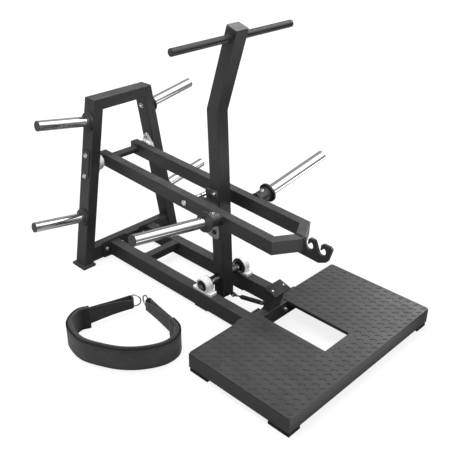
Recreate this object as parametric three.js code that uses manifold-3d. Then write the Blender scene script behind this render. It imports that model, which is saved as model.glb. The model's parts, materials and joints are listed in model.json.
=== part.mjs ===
// A belt squat machine. An A-shaped rear frame and two floor rails carry a standing deck. A lever
// arm turns on the rear frame, takes the weight plates and ends in a double hook for the belt. A
// post with a handle bar swings on the rails, and its catch plates hold the lever arm up. A small
// damper strut steadies the post. The lifting belt stands beside the machine on the floor.
// Millimetres, +X from the rear frame to the deck, +Z up, the machine alike on both sides of y = 0.

import * as THREE from "three";
import { mergeVertices } from "three/addons/utils/BufferGeometryUtils.js";
import Module from "manifold-3d";

const wasm = await Module();
wasm.setup();

// Clearances and steps that all pieces share
const weldGap = 0.3;
const runGap = 0.5;
const overrun = 6;
const cornerSteps = 2;
const turnedSides = 28;
const boreSides = 16;
const arcSteps = 6;
const quarter = Math.PI / 2;

// Steel sections
const frameTube = { wide: 81, thin: 57, wall: 3, corner: 4 };
const armTube = { tall: 67, thin: 46, wall: 3, corner: 3.5 };
const postTube = { wide: 72, deep: 62, wall: 3, corner: 3.5 };
const beamTube = { tall: 76, thin: 50, wall: 3, corner: 4 };
const memberTube = { size: 44, wall: 2.5, corner: 4 };
const sleeveTube = { radius: 25, wall: 3, chamfer: 2 };

// Rear frame
const frameHeight = 890;
const frameTopHalf = 179.5;
const frameFootHalf = 331.5;
const footPlate = { length: 106, width: 78, thick: 12, outset: 15 };
const storage = { upper: 779, lower: 277, length: 290, collar: 45, collarThick: 10, step: 34, stepThick: 6 };

// Floor frame: rails from the rear frame to the deck
const railSpacing = 254;
const railLift = 13;
const railLength = 977;
const flange = { width: 155, thick: 8, lift: 13, rearHeight: 95, frontHeight: 85, corner: 5 };
const memberSetback = 242;

// Standing deck
const deck = { length: 550, width: 1000, lift: 18, plate: 3, corner: 12 };
const notch = { width: 175, length: 401, fold: 17, corner: 5 };
const deckFoot = { length: 107, width: 71, inset: 2, pad: 13, step: 3 };
const pedestal = { width: 78, deep: 42, wall: 4, corner: 5, length: 116, tilt: THREE.MathUtils.degToRad(16) };
const bumper = { length: 70, width: 108, thick: 8, corner: 5 };

// Lever arm and its pivot
const armPivotHeight = 553;
const armSpacing = 210;
const armDroop = THREE.MathUtils.degToRad(2.87);
const armTail = 37;
const armToBend = 1132;
const noseTurn = THREE.MathUtils.degToRad(60);
const pivotShaft = { radius: 12.5, bearingDepth: 28 };
const pivotTube = { radius: 20, wall: 6 };
const bearing = { radius: 41, depth: 33, lug: 16, bolts: 108, flange: 13 };
const backing = { width: 54, height: 139, thick: 4, rise: 13 };
const catchPin = { radius: 10.5, fromPivot: 612 };
const horn = {
  fromPivot: 828, tilt: THREE.MathUtils.degToRad(10), stub: 32.5, toFlange: 131, flange: 47, flangeThick: 10,
  length: 536,
};
const hook = { thick: 10, drop: 47, rise: 30, pocket: 19, pitch: 66, firstPocket: 53, pocketRise: 14 };

// Post, its pivot on the rails, and its handle bar
const postPivotSetback = 741;
const postLean = THREE.MathUtils.degToRad(3);
const postBend = THREE.MathUtils.degToRad(20.2);
const postLower = 832;
const postUpper = 386;
const postFoot = 105;
const postCap = 5;
const handle = { radius: 16, wall: 2.5, length: 700, fromBend: 345 };
const pillow = { length: 124, width: 44, base: 15, radius: 42, rise: 36.5 };
const postShaft = { radius: 12.5, sleeve: 21, sleeveHalf: 98, overhang: 4 };

// Catch plates on the post, from the post pivot up along the post
const catchPlate = {
  thick: 4, bottom: 211, top: 462, front: 21, back: 67, toothGap: 6, tooth: 32, toothWidth: 13, throat: 27,
  finger: 14, fingerEnd: 31, topCorner: 8,
};

// Damper strut between the deck and the foot of the post
const strut = {
  body: 11, rod: 4, eye: 9, eyeWidth: 9, pin: 4, cheek: 4, base: 4, lugReach: 28.5, lugHeight: 30, deckDrop: 6,
  postReach: 35.5, postDrop: 88, bodyLength: 139, rodInside: 46, bore: 0.6, openPivot: 1.4,
};

// Lifting belt on the floor: a padded band, an outer band with strap loops, two rings
const belt = {
  spanX: 488, spanY: 398, rearX: 447, farY: 388, pad: 19, band: 9, padHeight: 116, bandHeight: 106, round: 6,
  bandRound: 2,
};
const strap = { ply: 4, rootGap: 1.5, rootHeight: 88, tipHeight: 48 };
const ring = { wire: 3.5, height: 63, width: 42, corner: 7, play: 0.6 };
const leftRing = { x: 513, y: 392, turn: THREE.MathUtils.degToRad(-33.3) };
const rightRing = { x: 579, y: 350, turn: THREE.MathUtils.degToRad(1.3) };

// Finishes
const finishes = {
  powder: { color: 0x343534, roughness: 0.55, metalness: 0.1 },
  deckPowder: { color: 0x4a4b4a, roughness: 0.65, metalness: 0.1 },
  chrome: { color: 0xdadada, roughness: 0.12, metalness: 1 },
  zinc: { color: 0xb5b3b1, roughness: 0.35, metalness: 0.9 },
  bearingGrey: { color: 0xe6e6e6, roughness: 0.3, metalness: 0.4 },
  catchSteel: { color: 0x767473, roughness: 0.45, metalness: 0.7 },
  darkSteel: { color: 0x242424, roughness: 0.4, metalness: 0.6 },
  rubber: { color: 0x232323, roughness: 0.85, metalness: 0 },
  cap: { color: 0x6f706f, roughness: 0.6, metalness: 0 },
  leather: { color: 0x333433, roughness: 0.75, metalness: 0 },
};

// Scene graph helpers
function piece(parent, name, geometry, finish, place = [0, 0, 0], turn = [0, 0, 0]) {
  const mesh = new THREE.Mesh(geometry, new THREE.MeshStandardMaterial(finish));
  mesh.name = name;
  mesh.position.set(...place);
  mesh.rotation.set(...turn);
  parent.add(mesh);
  return mesh;
}

// The left piece stands on the +Y side, and the right one is its mirror image.
function pair(parent, name, geometry, finish, place = [0, 0, 0], turn = [0, 0, 0]) {
  const [x, y, z] = place;
  const [aboutX, aboutY, aboutZ] = turn;
  piece(parent, `left_${name}`, geometry, finish, place, turn);
  piece(parent, `right_${name}`, mirrored(geometry), finish, [x, -y, z], [-aboutX, aboutY, -aboutZ]);
}

// Geometry helpers
function flipped(geometry) {
  const inverted = geometry.index ? geometry.toNonIndexed() : geometry.clone();
  const spots = inverted.attributes.position;
  for (let first = 0; first < spots.count; first += 3) {
    const second = new THREE.Vector3().fromBufferAttribute(spots, first + 1);
    const third = new THREE.Vector3().fromBufferAttribute(spots, first + 2);
    spots.setXYZ(first + 1, ...third);
    spots.setXYZ(first + 2, ...second);
  }
  inverted.computeVertexNormals();
  return inverted;
}

function mirrored(geometry) {
  return flipped(geometry.clone().applyMatrix4(new THREE.Matrix4().makeScale(1, -1, 1)));
}

function moved(geometry, place = [0, 0, 0], turn = [0, 0, 0]) {
  const frame = new THREE.Matrix4().makeRotationFromEuler(new THREE.Euler(...turn)).setPosition(...place);
  return geometry.clone().applyMatrix4(frame);
}

function enclosedVolume(geometry) {
  const plain = geometry.index ? geometry.toNonIndexed() : geometry;
  const spots = plain.attributes.position;
  const corners = [new THREE.Vector3(), new THREE.Vector3(), new THREE.Vector3()];
  let total = 0;
  for (let first = 0; first < spots.count; first += 3) {
    corners.forEach((corner, i) => corner.fromBufferAttribute(spots, first + i));
    total += corners[0].dot(corners[1].cross(corners[2])) / 6;
  }
  return total;
}

function outward(geometry) {
  return enclosedVolume(geometry) < 0 ? flipped(geometry) : geometry;
}

function toSolid(geometry) {
  const bare = geometry.clone();
  bare.deleteAttribute("normal");
  bare.deleteAttribute("uv");
  const merged = mergeVertices(bare);
  const vertProperties = new Float32Array(merged.attributes.position.array);
  const triVerts = new Uint32Array(merged.index.array);
  return new wasm.Manifold(new wasm.Mesh({ numProp: 3, vertProperties, triVerts }));
}

function toGeometry(solid) {
  const mesh = solid.getMesh();
  const shared = new THREE.BufferGeometry();
  shared.setAttribute("position", new THREE.BufferAttribute(mesh.vertProperties, 3));
  shared.setIndex(new THREE.BufferAttribute(mesh.triVerts, 1));
  const geometry = shared.toNonIndexed();
  geometry.computeVertexNormals();
  return geometry;
}

function joined(first, ...others) {
  return toGeometry(others.reduce((solid, other) => solid.add(toSolid(other)), toSolid(first)));
}

function cut(geometry, ...cutters) {
  return toGeometry(cutters.reduce((solid, cutter) => solid.subtract(toSolid(cutter)), toSolid(geometry)));
}

// A solid of revolution about Y, from a profile of [radius, distance along Y]
function turned(profile, sides = turnedSides) {
  return outward(new THREE.LatheGeometry(profile.map(([radius, y]) => new THREE.Vector2(radius, y)), sides));
}

function pipe(radius, bore, start, end, sides = turnedSides) {
  return turned([[bore, start], [radius, start], [radius, end], [bore, end], [bore, start]], sides);
}

// A round bar along Y, centred on the origin
function bar(radius, length, sides = boreSides) {
  return new THREE.CylinderGeometry(radius, radius, length, sides);
}

// A drill along Y that leaves the given radius clear between its flat sides
function drill(radius, length) {
  return bar(radius / Math.cos(Math.PI / boreSides), length);
}

// A plate cut from a shape in the XY plane, lying between z = 0 and its thickness
function lyingPlate(shape, thick) {
  return new THREE.ExtrudeGeometry(shape, { depth: thick, bevelEnabled: false, curveSegments: arcSteps });
}

// A plate cut from a shape in the XZ plane, centred on y = 0
function standingPlate(shape, thick) {
  return lyingPlate(shape, thick).translate(0, 0, -thick / 2).rotateX(quarter);
}

function roundedLoop(width, height, radius) {
  const loop = [];
  [[1, 1], [-1, 1], [-1, -1], [1, -1]].forEach(([toRight, toTop], corner) => {
    for (let step = 0; step <= cornerSteps; step += 1) {
      const angle = (corner + step / cornerSteps) * quarter;
      loop.push(new THREE.Vector2(
        toRight * (width / 2 - radius) + radius * Math.cos(angle),
        toTop * (height / 2 - radius) + radius * Math.sin(angle)));
    }
  });
  return loop;
}

function roundedPlate(width, height, radius) {
  return new THREE.Shape(roundedLoop(width, height, radius));
}

// Joins rows of points into one closed surface. Each row is a closed loop, and the last row joins
// the first one where the surface runs round on itself.
function stitched(rows, runsRound) {
  const spots = rows.flat().flatMap((spot) => spot.toArray());
  const index = [];
  const width = rows[0].length;
  const bands = runsRound ? rows.length : rows.length - 1;
  for (let row = 0; row < bands; row += 1) {
    const next = (row + 1) % rows.length;
    for (let at = 0; at < width; at += 1) {
      const beside = (at + 1) % width;
      const [a, b] = [row * width + at, row * width + beside];
      const [c, d] = [next * width + beside, next * width + at];
      index.push(a, b, c, a, c, d);
    }
  }
  if (!runsRound) {
    for (let at = 1; at < width - 1; at += 1) {
      const last = (rows.length - 1) * width;
      index.push(0, at + 1, at);
      index.push(last, last + at, last + at + 1);
    }
  }
  const shared = new THREE.BufferGeometry();
  shared.setAttribute("position", new THREE.Float32BufferAttribute(spots, 3));
  shared.setIndex(index);
  const geometry = shared.toNonIndexed();
  geometry.computeVertexNormals();
  return outward(geometry);
}

// A rectangular tube along a broken line, mitred where the line turns. `side` is the direction that
// stays square to the line, `across` the tube's size along it and `deep` its other size. Each end is
// cut square or along the plane with the given normal.
function mitredTube({ across, deep, wall, corner }, side, path, startCut, endCut) {
  const headings = path.slice(1).map((spot, i) => spot.clone().sub(path[i]).normalize());
  const last = path.length - 1;
  const normals = path.map((_, i) => {
    if (i === 0) return startCut ?? headings[0];
    if (i === last) return endCut ?? headings[last - 1];
    return headings[i - 1].clone().add(headings[i]).normalize();
  });
  const station = (loop, i) => loop.map((point) => {
    const heading = headings[Math.min(i, last - 1)];
    const up = new THREE.Vector3().crossVectors(heading, side);
    const offset = side.clone().multiplyScalar(point.x).addScaledVector(up, point.y);
    const reach = offset.dot(normals[i]) / heading.dot(normals[i]);
    return path[i].clone().add(offset).addScaledVector(heading, -reach);
  });
  const outer = roundedLoop(across, deep, corner);
  const inner = roundedLoop(across - 2 * wall, deep - 2 * wall, corner - wall);
  const rows = path.map((_, i) => station(outer, i));
  const inside = path.map((_, i) => station(inner, i)).reverse();
  return stitched([...rows, ...inside], true);
}

const spot = (x, y, z) => new THREE.Vector3(x, y, z);
const alongX = spot(1, 0, 0);
const alongY = spot(0, 1, 0);
const alongZ = spot(0, 0, 1);

// Places that several sub-assemblies share
const frameLean = Math.atan2(frameFootHalf - frameTopHalf, frameHeight - footPlate.thick);
const uprightOuter = (height) => frameFootHalf - (height - footPlate.thick) * Math.tan(frameLean);
const uprightInner = (height) => uprightOuter(height) - frameTube.thin / Math.cos(frameLean);
const railHalf = railSpacing / 2;
const railTop = railLift + frameTube.wide;
const railStart = frameTube.wide / 2;
const railEnd = railStart + railLength;
const deckRear = railEnd + flange.thick;
const deckFront = deckRear + deck.length;
const beamTop = deck.lift + beamTube.tall;
const deckTop = beamTop + deck.plate;
const postPivotHeight = railTop + pillow.rise;
const armHalf = armSpacing / 2;
const armInner = armHalf - armTube.thin / 2;
const armOuter = armHalf + armTube.thin / 2;

// Rear frame
function rearFrame() {
  const group = new THREE.Group();
  const { wall, corner: round } = frameTube;
  const section = { across: frameTube.wide, deep: frameTube.thin, wall, corner: round };
  const centre = (height) => (uprightOuter(height) + uprightInner(height)) / 2;
  const barHeight = frameHeight - frameTube.thin / 2;
  const foot = spot(0, centre(footPlate.thick), footPlate.thick);
  const corner = spot(0, centre(barHeight), barHeight);
  const climb = corner.clone().sub(foot).normalize();
  const mitre = climb.clone().sub(alongY).normalize();
  const uprightTop = corner.clone().addScaledVector(climb, -weldGap / 2);
  pair(group, "upright", mitredTube(section, alongX, [foot, uprightTop], alongZ, mitre), finishes.powder);

  const barHalf = corner.y - weldGap / 2;
  const farMitre = spot(mitre.x, mitre.y, -mitre.z);
  const topBar = mitredTube(section, alongX, [spot(0, barHalf, barHeight), spot(0, -barHalf, barHeight)],
    mitre, farMitre);
  piece(group, "top_bar", topBar, finishes.powder);

  const crossSection = { ...section, across: frameTube.thin, deep: frameTube.wide };
  const crossHeight = railLift + frameTube.wide / 2;
  const crossHalf = uprightInner(crossHeight) - weldGap;
  const faceCut = spot(0, Math.cos(frameLean), Math.sin(frameLean));
  const farFaceCut = spot(0, -Math.cos(frameLean), Math.sin(frameLean));
  const crossbarX = railStart - flange.thick - frameTube.thin / 2;
  const crossbar = mitredTube(crossSection, alongX,
    [spot(crossbarX, crossHalf, crossHeight), spot(crossbarX, -crossHalf, crossHeight)], faceCut, farFaceCut);
  piece(group, "rear_crossbar", crossbar, finishes.powder);

  const plate = lyingPlate(roundedPlate(footPlate.length, footPlate.width, round), footPlate.thick);
  pair(group, "foot_plate", plate, finishes.powder,
    [0, frameFootHalf + footPlate.outset - footPlate.width / 2, 0]);

  for (const level of ["upper", "lower"]) {
    const height = storage[level];
    pair(group, `${level}_storage_horn`, storageHorn(), finishes.chrome,
      [0, uprightOuter(height) + weldGap, height], [frameLean, 0, 0]);
  }
  return group;
}

// A closed sleeve along Y with a collar and a step ring at its root
function storageHorn() {
  const { radius, wall, chamfer } = sleeveTube;
  const { length, collar, collarThick, step, stepThick } = storage;
  return turned([
    [0, length - wall], [radius - wall, length - wall], [radius - wall, 0], [collar, 0],
    [collar, collarThick], [step, collarThick], [step, collarThick + stepThick],
    [radius, collarThick + stepThick], [radius, length - chamfer], [radius - chamfer, length], [0, length],
  ]);
}

// Lever pivot: flange bearings on the uprights' inner faces, backing plates on their outer faces
function armBearings() {
  const group = new THREE.Group();
  const housing = new THREE.CylinderGeometry(bearing.radius, bearing.radius, bearing.depth, turnedSides);
  const seat = uprightInner(armPivotHeight) - weldGap;
  const inFrame = (geometry) => moved(geometry, [0, seat, armPivotHeight], [frameLean, 0, 0]);
  const body = inFrame(moved(housing, [0, -bearing.depth / 2, 0]));
  const base = inFrame(moved(standingPlate(bearingFlange(), bearing.flange), [0, -bearing.flange / 2, 0]));
  const bore = moved(drill(pivotShaft.radius + runGap, frameFootHalf), [0, seat, armPivotHeight]);
  pair(group, "arm_bearing", cut(joined(body, base), bore), finishes.bearingGrey);

  const backPlate = standingPlate(roundedPlate(backing.width, backing.height, bumper.corner), backing.thick);
  const plateHeight = armPivotHeight + backing.rise;
  pair(group, "bearing_backing_plate", moved(backPlate, [0, backing.thick / 2 + weldGap, 0]), finishes.powder,
    [0, uprightOuter(plateHeight), plateHeight], [frameLean, 0, 0]);
  return group;
}

// A round flange with a lug for a bolt above and below
function bearingFlange() {
  const reach = bearing.bolts / 2;
  const tangent = Math.acos((bearing.radius - bearing.lug) / reach);
  const shape = new THREE.Shape();
  shape.absarc(0, reach, bearing.lug, quarter - tangent, quarter + tangent);
  shape.absarc(0, 0, bearing.radius, quarter + tangent, 3 * quarter - tangent);
  shape.absarc(0, -reach, bearing.lug, 3 * quarter - tangent, 3 * quarter + tangent);
  shape.absarc(0, 0, bearing.radius, 3 * quarter + tangent, 5 * quarter - tangent);
  return shape;
}

// Floor frame
function floorFrame() {
  const group = new THREE.Group();
  const railSection = {
    across: frameTube.thin, deep: frameTube.wide, wall: frameTube.wall, corner: frameTube.corner,
  };
  const height = railLift + frameTube.wide / 2;
  const rail = mitredTube(railSection, alongY, [spot(railStart, 0, 0), spot(railEnd, 0, 0)]);
  pair(group, "rail", rail, finishes.powder, [0, railHalf, height]);

  const memberHalf = railHalf - frameTube.thin / 2;
  const memberSection = { ...memberTube, across: memberTube.size, deep: memberTube.size };
  const member = mitredTube(memberSection, alongX, [spot(0, -memberHalf, 0), spot(0, memberHalf, 0)]);
  piece(group, "cross_member", member, finishes.powder,
    [railStart + memberSetback, 0, railTop - memberTube.size / 2]);

  const flangePlate = (tall) => lyingPlate(roundedPlate(tall, flange.width, flange.corner), flange.thick)
    .rotateY(-quarter);
  pair(group, "rear_flange", flangePlate(flange.rearHeight), finishes.powder,
    [railStart, railHalf, flange.lift + flange.rearHeight / 2]);
  pair(group, "front_flange", flangePlate(flange.frontHeight), finishes.powder,
    [deckRear, railHalf, flange.lift + flange.frontHeight / 2]);

  const block = standingPlate(pillowShape(), pillow.width);
  pair(group, "pillow_block", block, finishes.bearingGrey, [postPivotSetback, railHalf, railTop]);
  return group;
}

// A foot with a round housing on it, bored for the post's shaft
function pillowShape() {
  const half = pillow.length / 2;
  const start = Math.asin((pillow.base - pillow.rise) / pillow.radius);
  const shape = new THREE.Shape();
  shape.moveTo(-half, 0);
  shape.lineTo(half, 0);
  shape.lineTo(half, pillow.base);
  shape.absarc(0, pillow.rise, pillow.radius, start, Math.PI - start);
  shape.lineTo(-half, pillow.base);
  shape.closePath();
  const bore = new THREE.Path();
  bore.absarc(0, pillow.rise, postShaft.radius + runGap, 0, 2 * Math.PI, true);
  shape.holes.push(bore);
  return shape;
}

// Standing deck: a mitred frame of beams, the tread plate with its notch, and four feet
function standingDeck() {
  const group = new THREE.Group();
  const { wall, corner } = beamTube;
  const sideways = { across: beamTube.thin, deep: beamTube.tall, wall, corner };
  const height = deck.lift + beamTube.tall / 2;
  const halfWidth = (deck.width - beamTube.thin) / 2;
  const [rear, front] = [deckRear + beamTube.thin / 2, deckFront - beamTube.thin / 2];
  const rearMitre = spot(1, 1, 0).normalize();
  const frontMitre = spot(1, -1, 0).normalize();
  const side = mitredTube(sideways, alongY, [spot(rear + weldGap, 0, 0), spot(front - weldGap, 0, 0)],
    rearMitre, frontMitre);
  pair(group, "deck_beam", side, finishes.deckPowder, [0, halfWidth, height]);
  const ends = { rear: [rear, frontMitre, rearMitre], front: [front, rearMitre, frontMitre] };
  for (const [name, [x, startCut, endCut]] of Object.entries(ends)) {
    const beam = mitredTube(sideways, alongX, [spot(0, -halfWidth, 0), spot(0, halfWidth, 0)],
      startCut.clone(), endCut.clone());
    piece(group, `${name}_deck_beam`, beam, finishes.deckPowder, [x, 0, height]);
  }

  piece(group, "tread_plate", treadPlate(), finishes.deckPowder, [(deckRear + deckFront) / 2, 0, beamTop]);

  const footHeight = deck.lift;
  const pad = lyingPlate(roundedPlate(deckFoot.length, deckFoot.width, deckFoot.step), deckFoot.pad);
  const { step } = deckFoot;
  const neckShape = roundedPlate(deckFoot.length - 2 * step, deckFoot.width - 2 * step, step);
  const neck = lyingPlate(neckShape, footHeight);
  const footY = deck.width / 2 - deckFoot.inset - deckFoot.width / 2;
  const footInset = deckFoot.inset + deckFoot.length / 2;
  pair(group, "rear_deck_foot", joined(pad, neck), finishes.rubber, [deckRear + footInset, footY, 0]);
  pair(group, "front_deck_foot", joined(pad, neck), finishes.rubber, [deckFront - footInset, footY, 0]);

  const lean = pedestal.tilt;
  const up = spot(Math.sin(lean), 0, Math.cos(lean));
  const base = spot(rear, 0, beamTop + weldGap);
  const column = mitredTube({ across: pedestal.width, ...pedestal }, alongY,
    [base, base.clone().addScaledVector(up, pedestal.length)], alongZ);
  piece(group, "pedestal", column, finishes.powder);

  const seat = base.clone().addScaledVector(up, pedestal.length + weldGap);
  const stop = lyingPlate(roundedPlate(bumper.length, bumper.width, bumper.corner), bumper.thick);
  piece(group, "bumper_plate", stop, finishes.rubber, seat.toArray(), [0, lean, 0]);
  return group;
}

// The tread plate, open to the rear, with its edge folded down round the notch
function treadPlate() {
  const [halfLength, halfWidth, halfNotch] = [deck.length / 2, deck.width / 2, notch.width / 2];
  const end = notch.length - halfLength;
  const { corner } = deck;
  const shape = new THREE.Shape();
  shape.moveTo(-halfLength, -halfNotch);
  shape.lineTo(end - notch.corner, -halfNotch);
  shape.absarc(end - notch.corner, notch.corner - halfNotch, notch.corner, -quarter, 0);
  shape.absarc(end - notch.corner, halfNotch - notch.corner, notch.corner, 0, quarter);
  shape.lineTo(-halfLength, halfNotch);
  shape.absarc(corner - halfLength, halfWidth - corner, corner, 2 * quarter, quarter, true);
  shape.absarc(halfLength - corner, halfWidth - corner, corner, quarter, 0, true);
  shape.absarc(halfLength - corner, corner - halfWidth, corner, 0, -quarter, true);
  shape.absarc(corner - halfLength, corner - halfWidth, corner, -quarter, -2 * quarter, true);
  shape.closePath();
  const foldStart = beamTube.thin + weldGap - halfLength;
  const sideFold = new THREE.BoxGeometry(end - foldStart, deck.plate, notch.fold);
  const endFold = new THREE.BoxGeometry(deck.plate, notch.width + 2 * deck.plate, notch.fold);
  const foldHeight = deck.plate - notch.fold / 2;
  const sideY = halfNotch + deck.plate / 2;
  return joined(outward(lyingPlate(shape, deck.plate)),
    moved(sideFold, [(foldStart + end) / 2, sideY, foldHeight]),
    moved(sideFold, [(foldStart + end) / 2, -sideY, foldHeight]),
    moved(endFold, [end + deck.plate / 2, 0, foldHeight]));
}

// Lever arm, in its own frame: x along the arms from the pivot, z square to them
function leverArm() {
  const group = new THREE.Group();
  const section = { across: armTube.tall, deep: armTube.thin, wall: armTube.wall, corner: armTube.corner };
  const noseHeading = spot(Math.cos(noseTurn), -Math.sin(noseTurn), 0);
  const mitre = alongX.clone().add(noseHeading).normalize();
  const bend = spot(armToBend, armHalf, 0);
  const straight = mitredTube(section, alongZ,
    [spot(-armTail, armHalf, 0), bend.clone().addScaledVector(alongX, -weldGap / 2)], undefined, mitre);
  const shaftHole = moved(drill(pivotShaft.radius + weldGap, armTube.thin + overrun), [0, armHalf, 0]);
  pair(group, "lever_arm", cut(straight, shaftHole), finishes.powder);

  const noseStop = hook.thick / 2 + weldGap;
  const noseRun = (armHalf - noseStop) / Math.sin(noseTurn);
  const nose = mitredTube(section, alongZ,
    [weldGap / 2, noseRun].map((along) => bend.clone().addScaledVector(noseHeading, along)),
    mitre, alongY.clone().negate());
  pair(group, "nose_member", nose, finishes.powder);
  const noseMeet = armToBend + armHalf / Math.tan(noseTurn);
  const hookBlade = standingPlate(hookShape(), hook.thick);
  piece(group, "hook_plate", hookBlade, finishes.darkSteel, [noseMeet, 0, 0]);

  const tubeHalf = armInner - weldGap;
  const tubeBore = pivotTube.radius - pivotTube.wall;
  piece(group, "lever_pivot_tube", pipe(pivotTube.radius, tubeBore, -tubeHalf, tubeHalf), finishes.powder);
  const shaftHalf = uprightInner(armPivotHeight) - bearing.depth + pivotShaft.bearingDepth;
  piece(group, "lever_pivot_shaft", bar(pivotShaft.radius, 2 * shaftHalf, turnedSides), finishes.zinc);
  piece(group, "catch_pin", bar(catchPin.radius, 2 * tubeHalf, turnedSides), finishes.chrome,
    [catchPin.fromPivot, 0, 0]);

  pair(group, "horn_stub", hornPart(hornStub()), finishes.powder);
  pair(group, "weight_horn", hornPart(weightSleeve()), finishes.chrome);
  return group;
}

// Tilts a turned part of a weight horn and cuts its root off along the arm's outer face
function hornPart(geometry) {
  const placed = moved(geometry, [horn.fromPivot, armInner, 0], [horn.tilt, 0, 0]);
  return toGeometry(toSolid(placed).trimByPlane([0, 1, 0], armOuter + weldGap));
}

function hornStub() {
  const bore = sleeveTube.radius + weldGap;
  return turned([
    [bore, 0], [horn.stub, 0], [horn.stub, horn.toFlange - horn.flangeThick],
    [horn.flange, horn.toFlange - horn.flangeThick], [horn.flange, horn.toFlange], [bore, horn.toFlange],
    [bore, 0],
  ]);
}

function weightSleeve() {
  const { radius, wall, chamfer } = sleeveTube;
  return turned([
    [0, horn.length - wall], [radius - wall, horn.length - wall], [radius - wall, 0], [radius, 0],
    [radius, horn.length - chamfer], [radius - chamfer, horn.length], [0, horn.length],
  ]);
}

// The double hook, from the point where the nose members meet. The barb, the channel walls and the
// finger tops are given as shares of the pocket's radius from the pocket's centre.
const barbShares = [[0.42, 0.95], [-0.24, 0.16], [-0.5, 0.2], [-0.48, 1.42], [0.1, 1.95]];
const wallShares = { top: [-1.72, 1.25], shoulder: [-2.05, 1.88] };
const lastFingerShares = [[1.95, 2.02], [2.46, 1.62], [2.57, 1.4], [1.87, -1.6], [1.4, -2.25], [-0.6, -3.25]];
const pocketStartAngle = THREE.MathUtils.degToRad(205);
const pocketEndAngle = THREE.MathUtils.degToRad(426);

function hookShape() {
  const from = ([x, y], [dx, dy]) => [x + dx * hook.pocket, y + dy * hook.pocket];
  const first = [hook.firstPocket, hook.pocketRise];
  const second = [hook.firstPocket + hook.pitch, hook.pocketRise];
  const shape = new THREE.Shape();
  const pocketAndBarb = (centre) => {
    shape.absarc(...centre, hook.pocket, pocketStartAngle, pocketEndAngle);
    for (const share of barbShares) shape.lineTo(...from(centre, share));
  };
  shape.moveTo(-hook.thick / 2, -hook.drop);
  shape.lineTo(-hook.thick / 2, hook.rise);
  shape.lineTo(...from(first, wallShares.top));
  pocketAndBarb(first);
  shape.lineTo(...from(second, wallShares.shoulder));
  shape.lineTo(...from(second, wallShares.top));
  pocketAndBarb(second);
  for (const share of lastFingerShares) shape.lineTo(...from(second, share));
  shape.closePath();
  return shape;
}

// Post, in its own frame: the pivot at the origin, z up along its lower part
function swingPost() {
  const group = new THREE.Group();
  const upperHeading = spot(Math.sin(postBend), 0, Math.cos(postBend));
  const bend = spot(0, 0, postLower);
  const top = bend.clone().addScaledVector(upperHeading, postUpper);
  const bent = mitredTube({ across: postTube.wide, ...postTube }, alongY, [spot(0, 0, -postFoot), bend, top]);
  const grip = bend.clone().addScaledVector(upperHeading, handle.fromBend);
  const drillLength = postTube.wide + overrun;
  const pivotHole = drill(postShaft.radius + weldGap, drillLength);
  const handleHole = moved(drill(handle.radius + weldGap, drillLength), grip.toArray());
  piece(group, "post", cut(bent, pivotHole, handleHole), finishes.powder);
  const lid = lyingPlate(roundedPlate(postTube.deep, postTube.wide, postTube.corner), postCap);
  const lidSeat = top.clone().addScaledVector(upperHeading, weldGap);
  piece(group, "post_cap", lid, finishes.cap, lidSeat.toArray(), [0, postBend, 0]);
  const gripTube = pipe(handle.radius, handle.radius - handle.wall, -handle.length / 2, handle.length / 2);
  piece(group, "handle_bar", gripTube, finishes.powder, grip.toArray());

  const plateY = (postTube.wide + catchPlate.thick) / 2 + weldGap;
  const plate = standingPlate(catchShape(), catchPlate.thick);
  pair(group, "catch_plate", plate, finishes.catchSteel, [0, plateY, 0]);

  const shaftHalf = railHalf + pillow.width / 2 + postShaft.overhang;
  const inPost = postTube.wide / 2 + weldGap;
  const stepped = turned([
    [0, -shaftHalf], [postShaft.radius, -shaftHalf], [postShaft.radius, -postShaft.sleeveHalf],
    [postShaft.sleeve, -postShaft.sleeveHalf], [postShaft.sleeve, -inPost], [postShaft.radius, -inPost],
    [postShaft.radius, inPost], [postShaft.sleeve, inPost], [postShaft.sleeve, postShaft.sleeveHalf],
    [postShaft.radius, postShaft.sleeveHalf], [postShaft.radius, shaftHalf], [0, shaftHalf],
  ]);
  piece(group, "post_pivot_shaft", stepped, finishes.darkSteel);

  const clevis = bracket(strut.postReach);
  piece(group, "strut_clevis", clevis, finishes.darkSteel, [postTube.deep / 2 + weldGap, 0, -strut.postDrop]);
  return group;
}

// The catch pin's place seen from the post pivot, in the post's own frame
function catchPinPlace() {
  const pin = spot(catchPin.fromPivot * Math.cos(armDroop), 0,
    armPivotHeight - catchPin.fromPivot * Math.sin(armDroop));
  const away = pin.sub(spot(postPivotSetback, 0, postPivotHeight)).applyAxisAngle(alongY, postLean);
  return { distance: away.length(), angle: Math.atan2(-away.x, away.z) };
}

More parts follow.
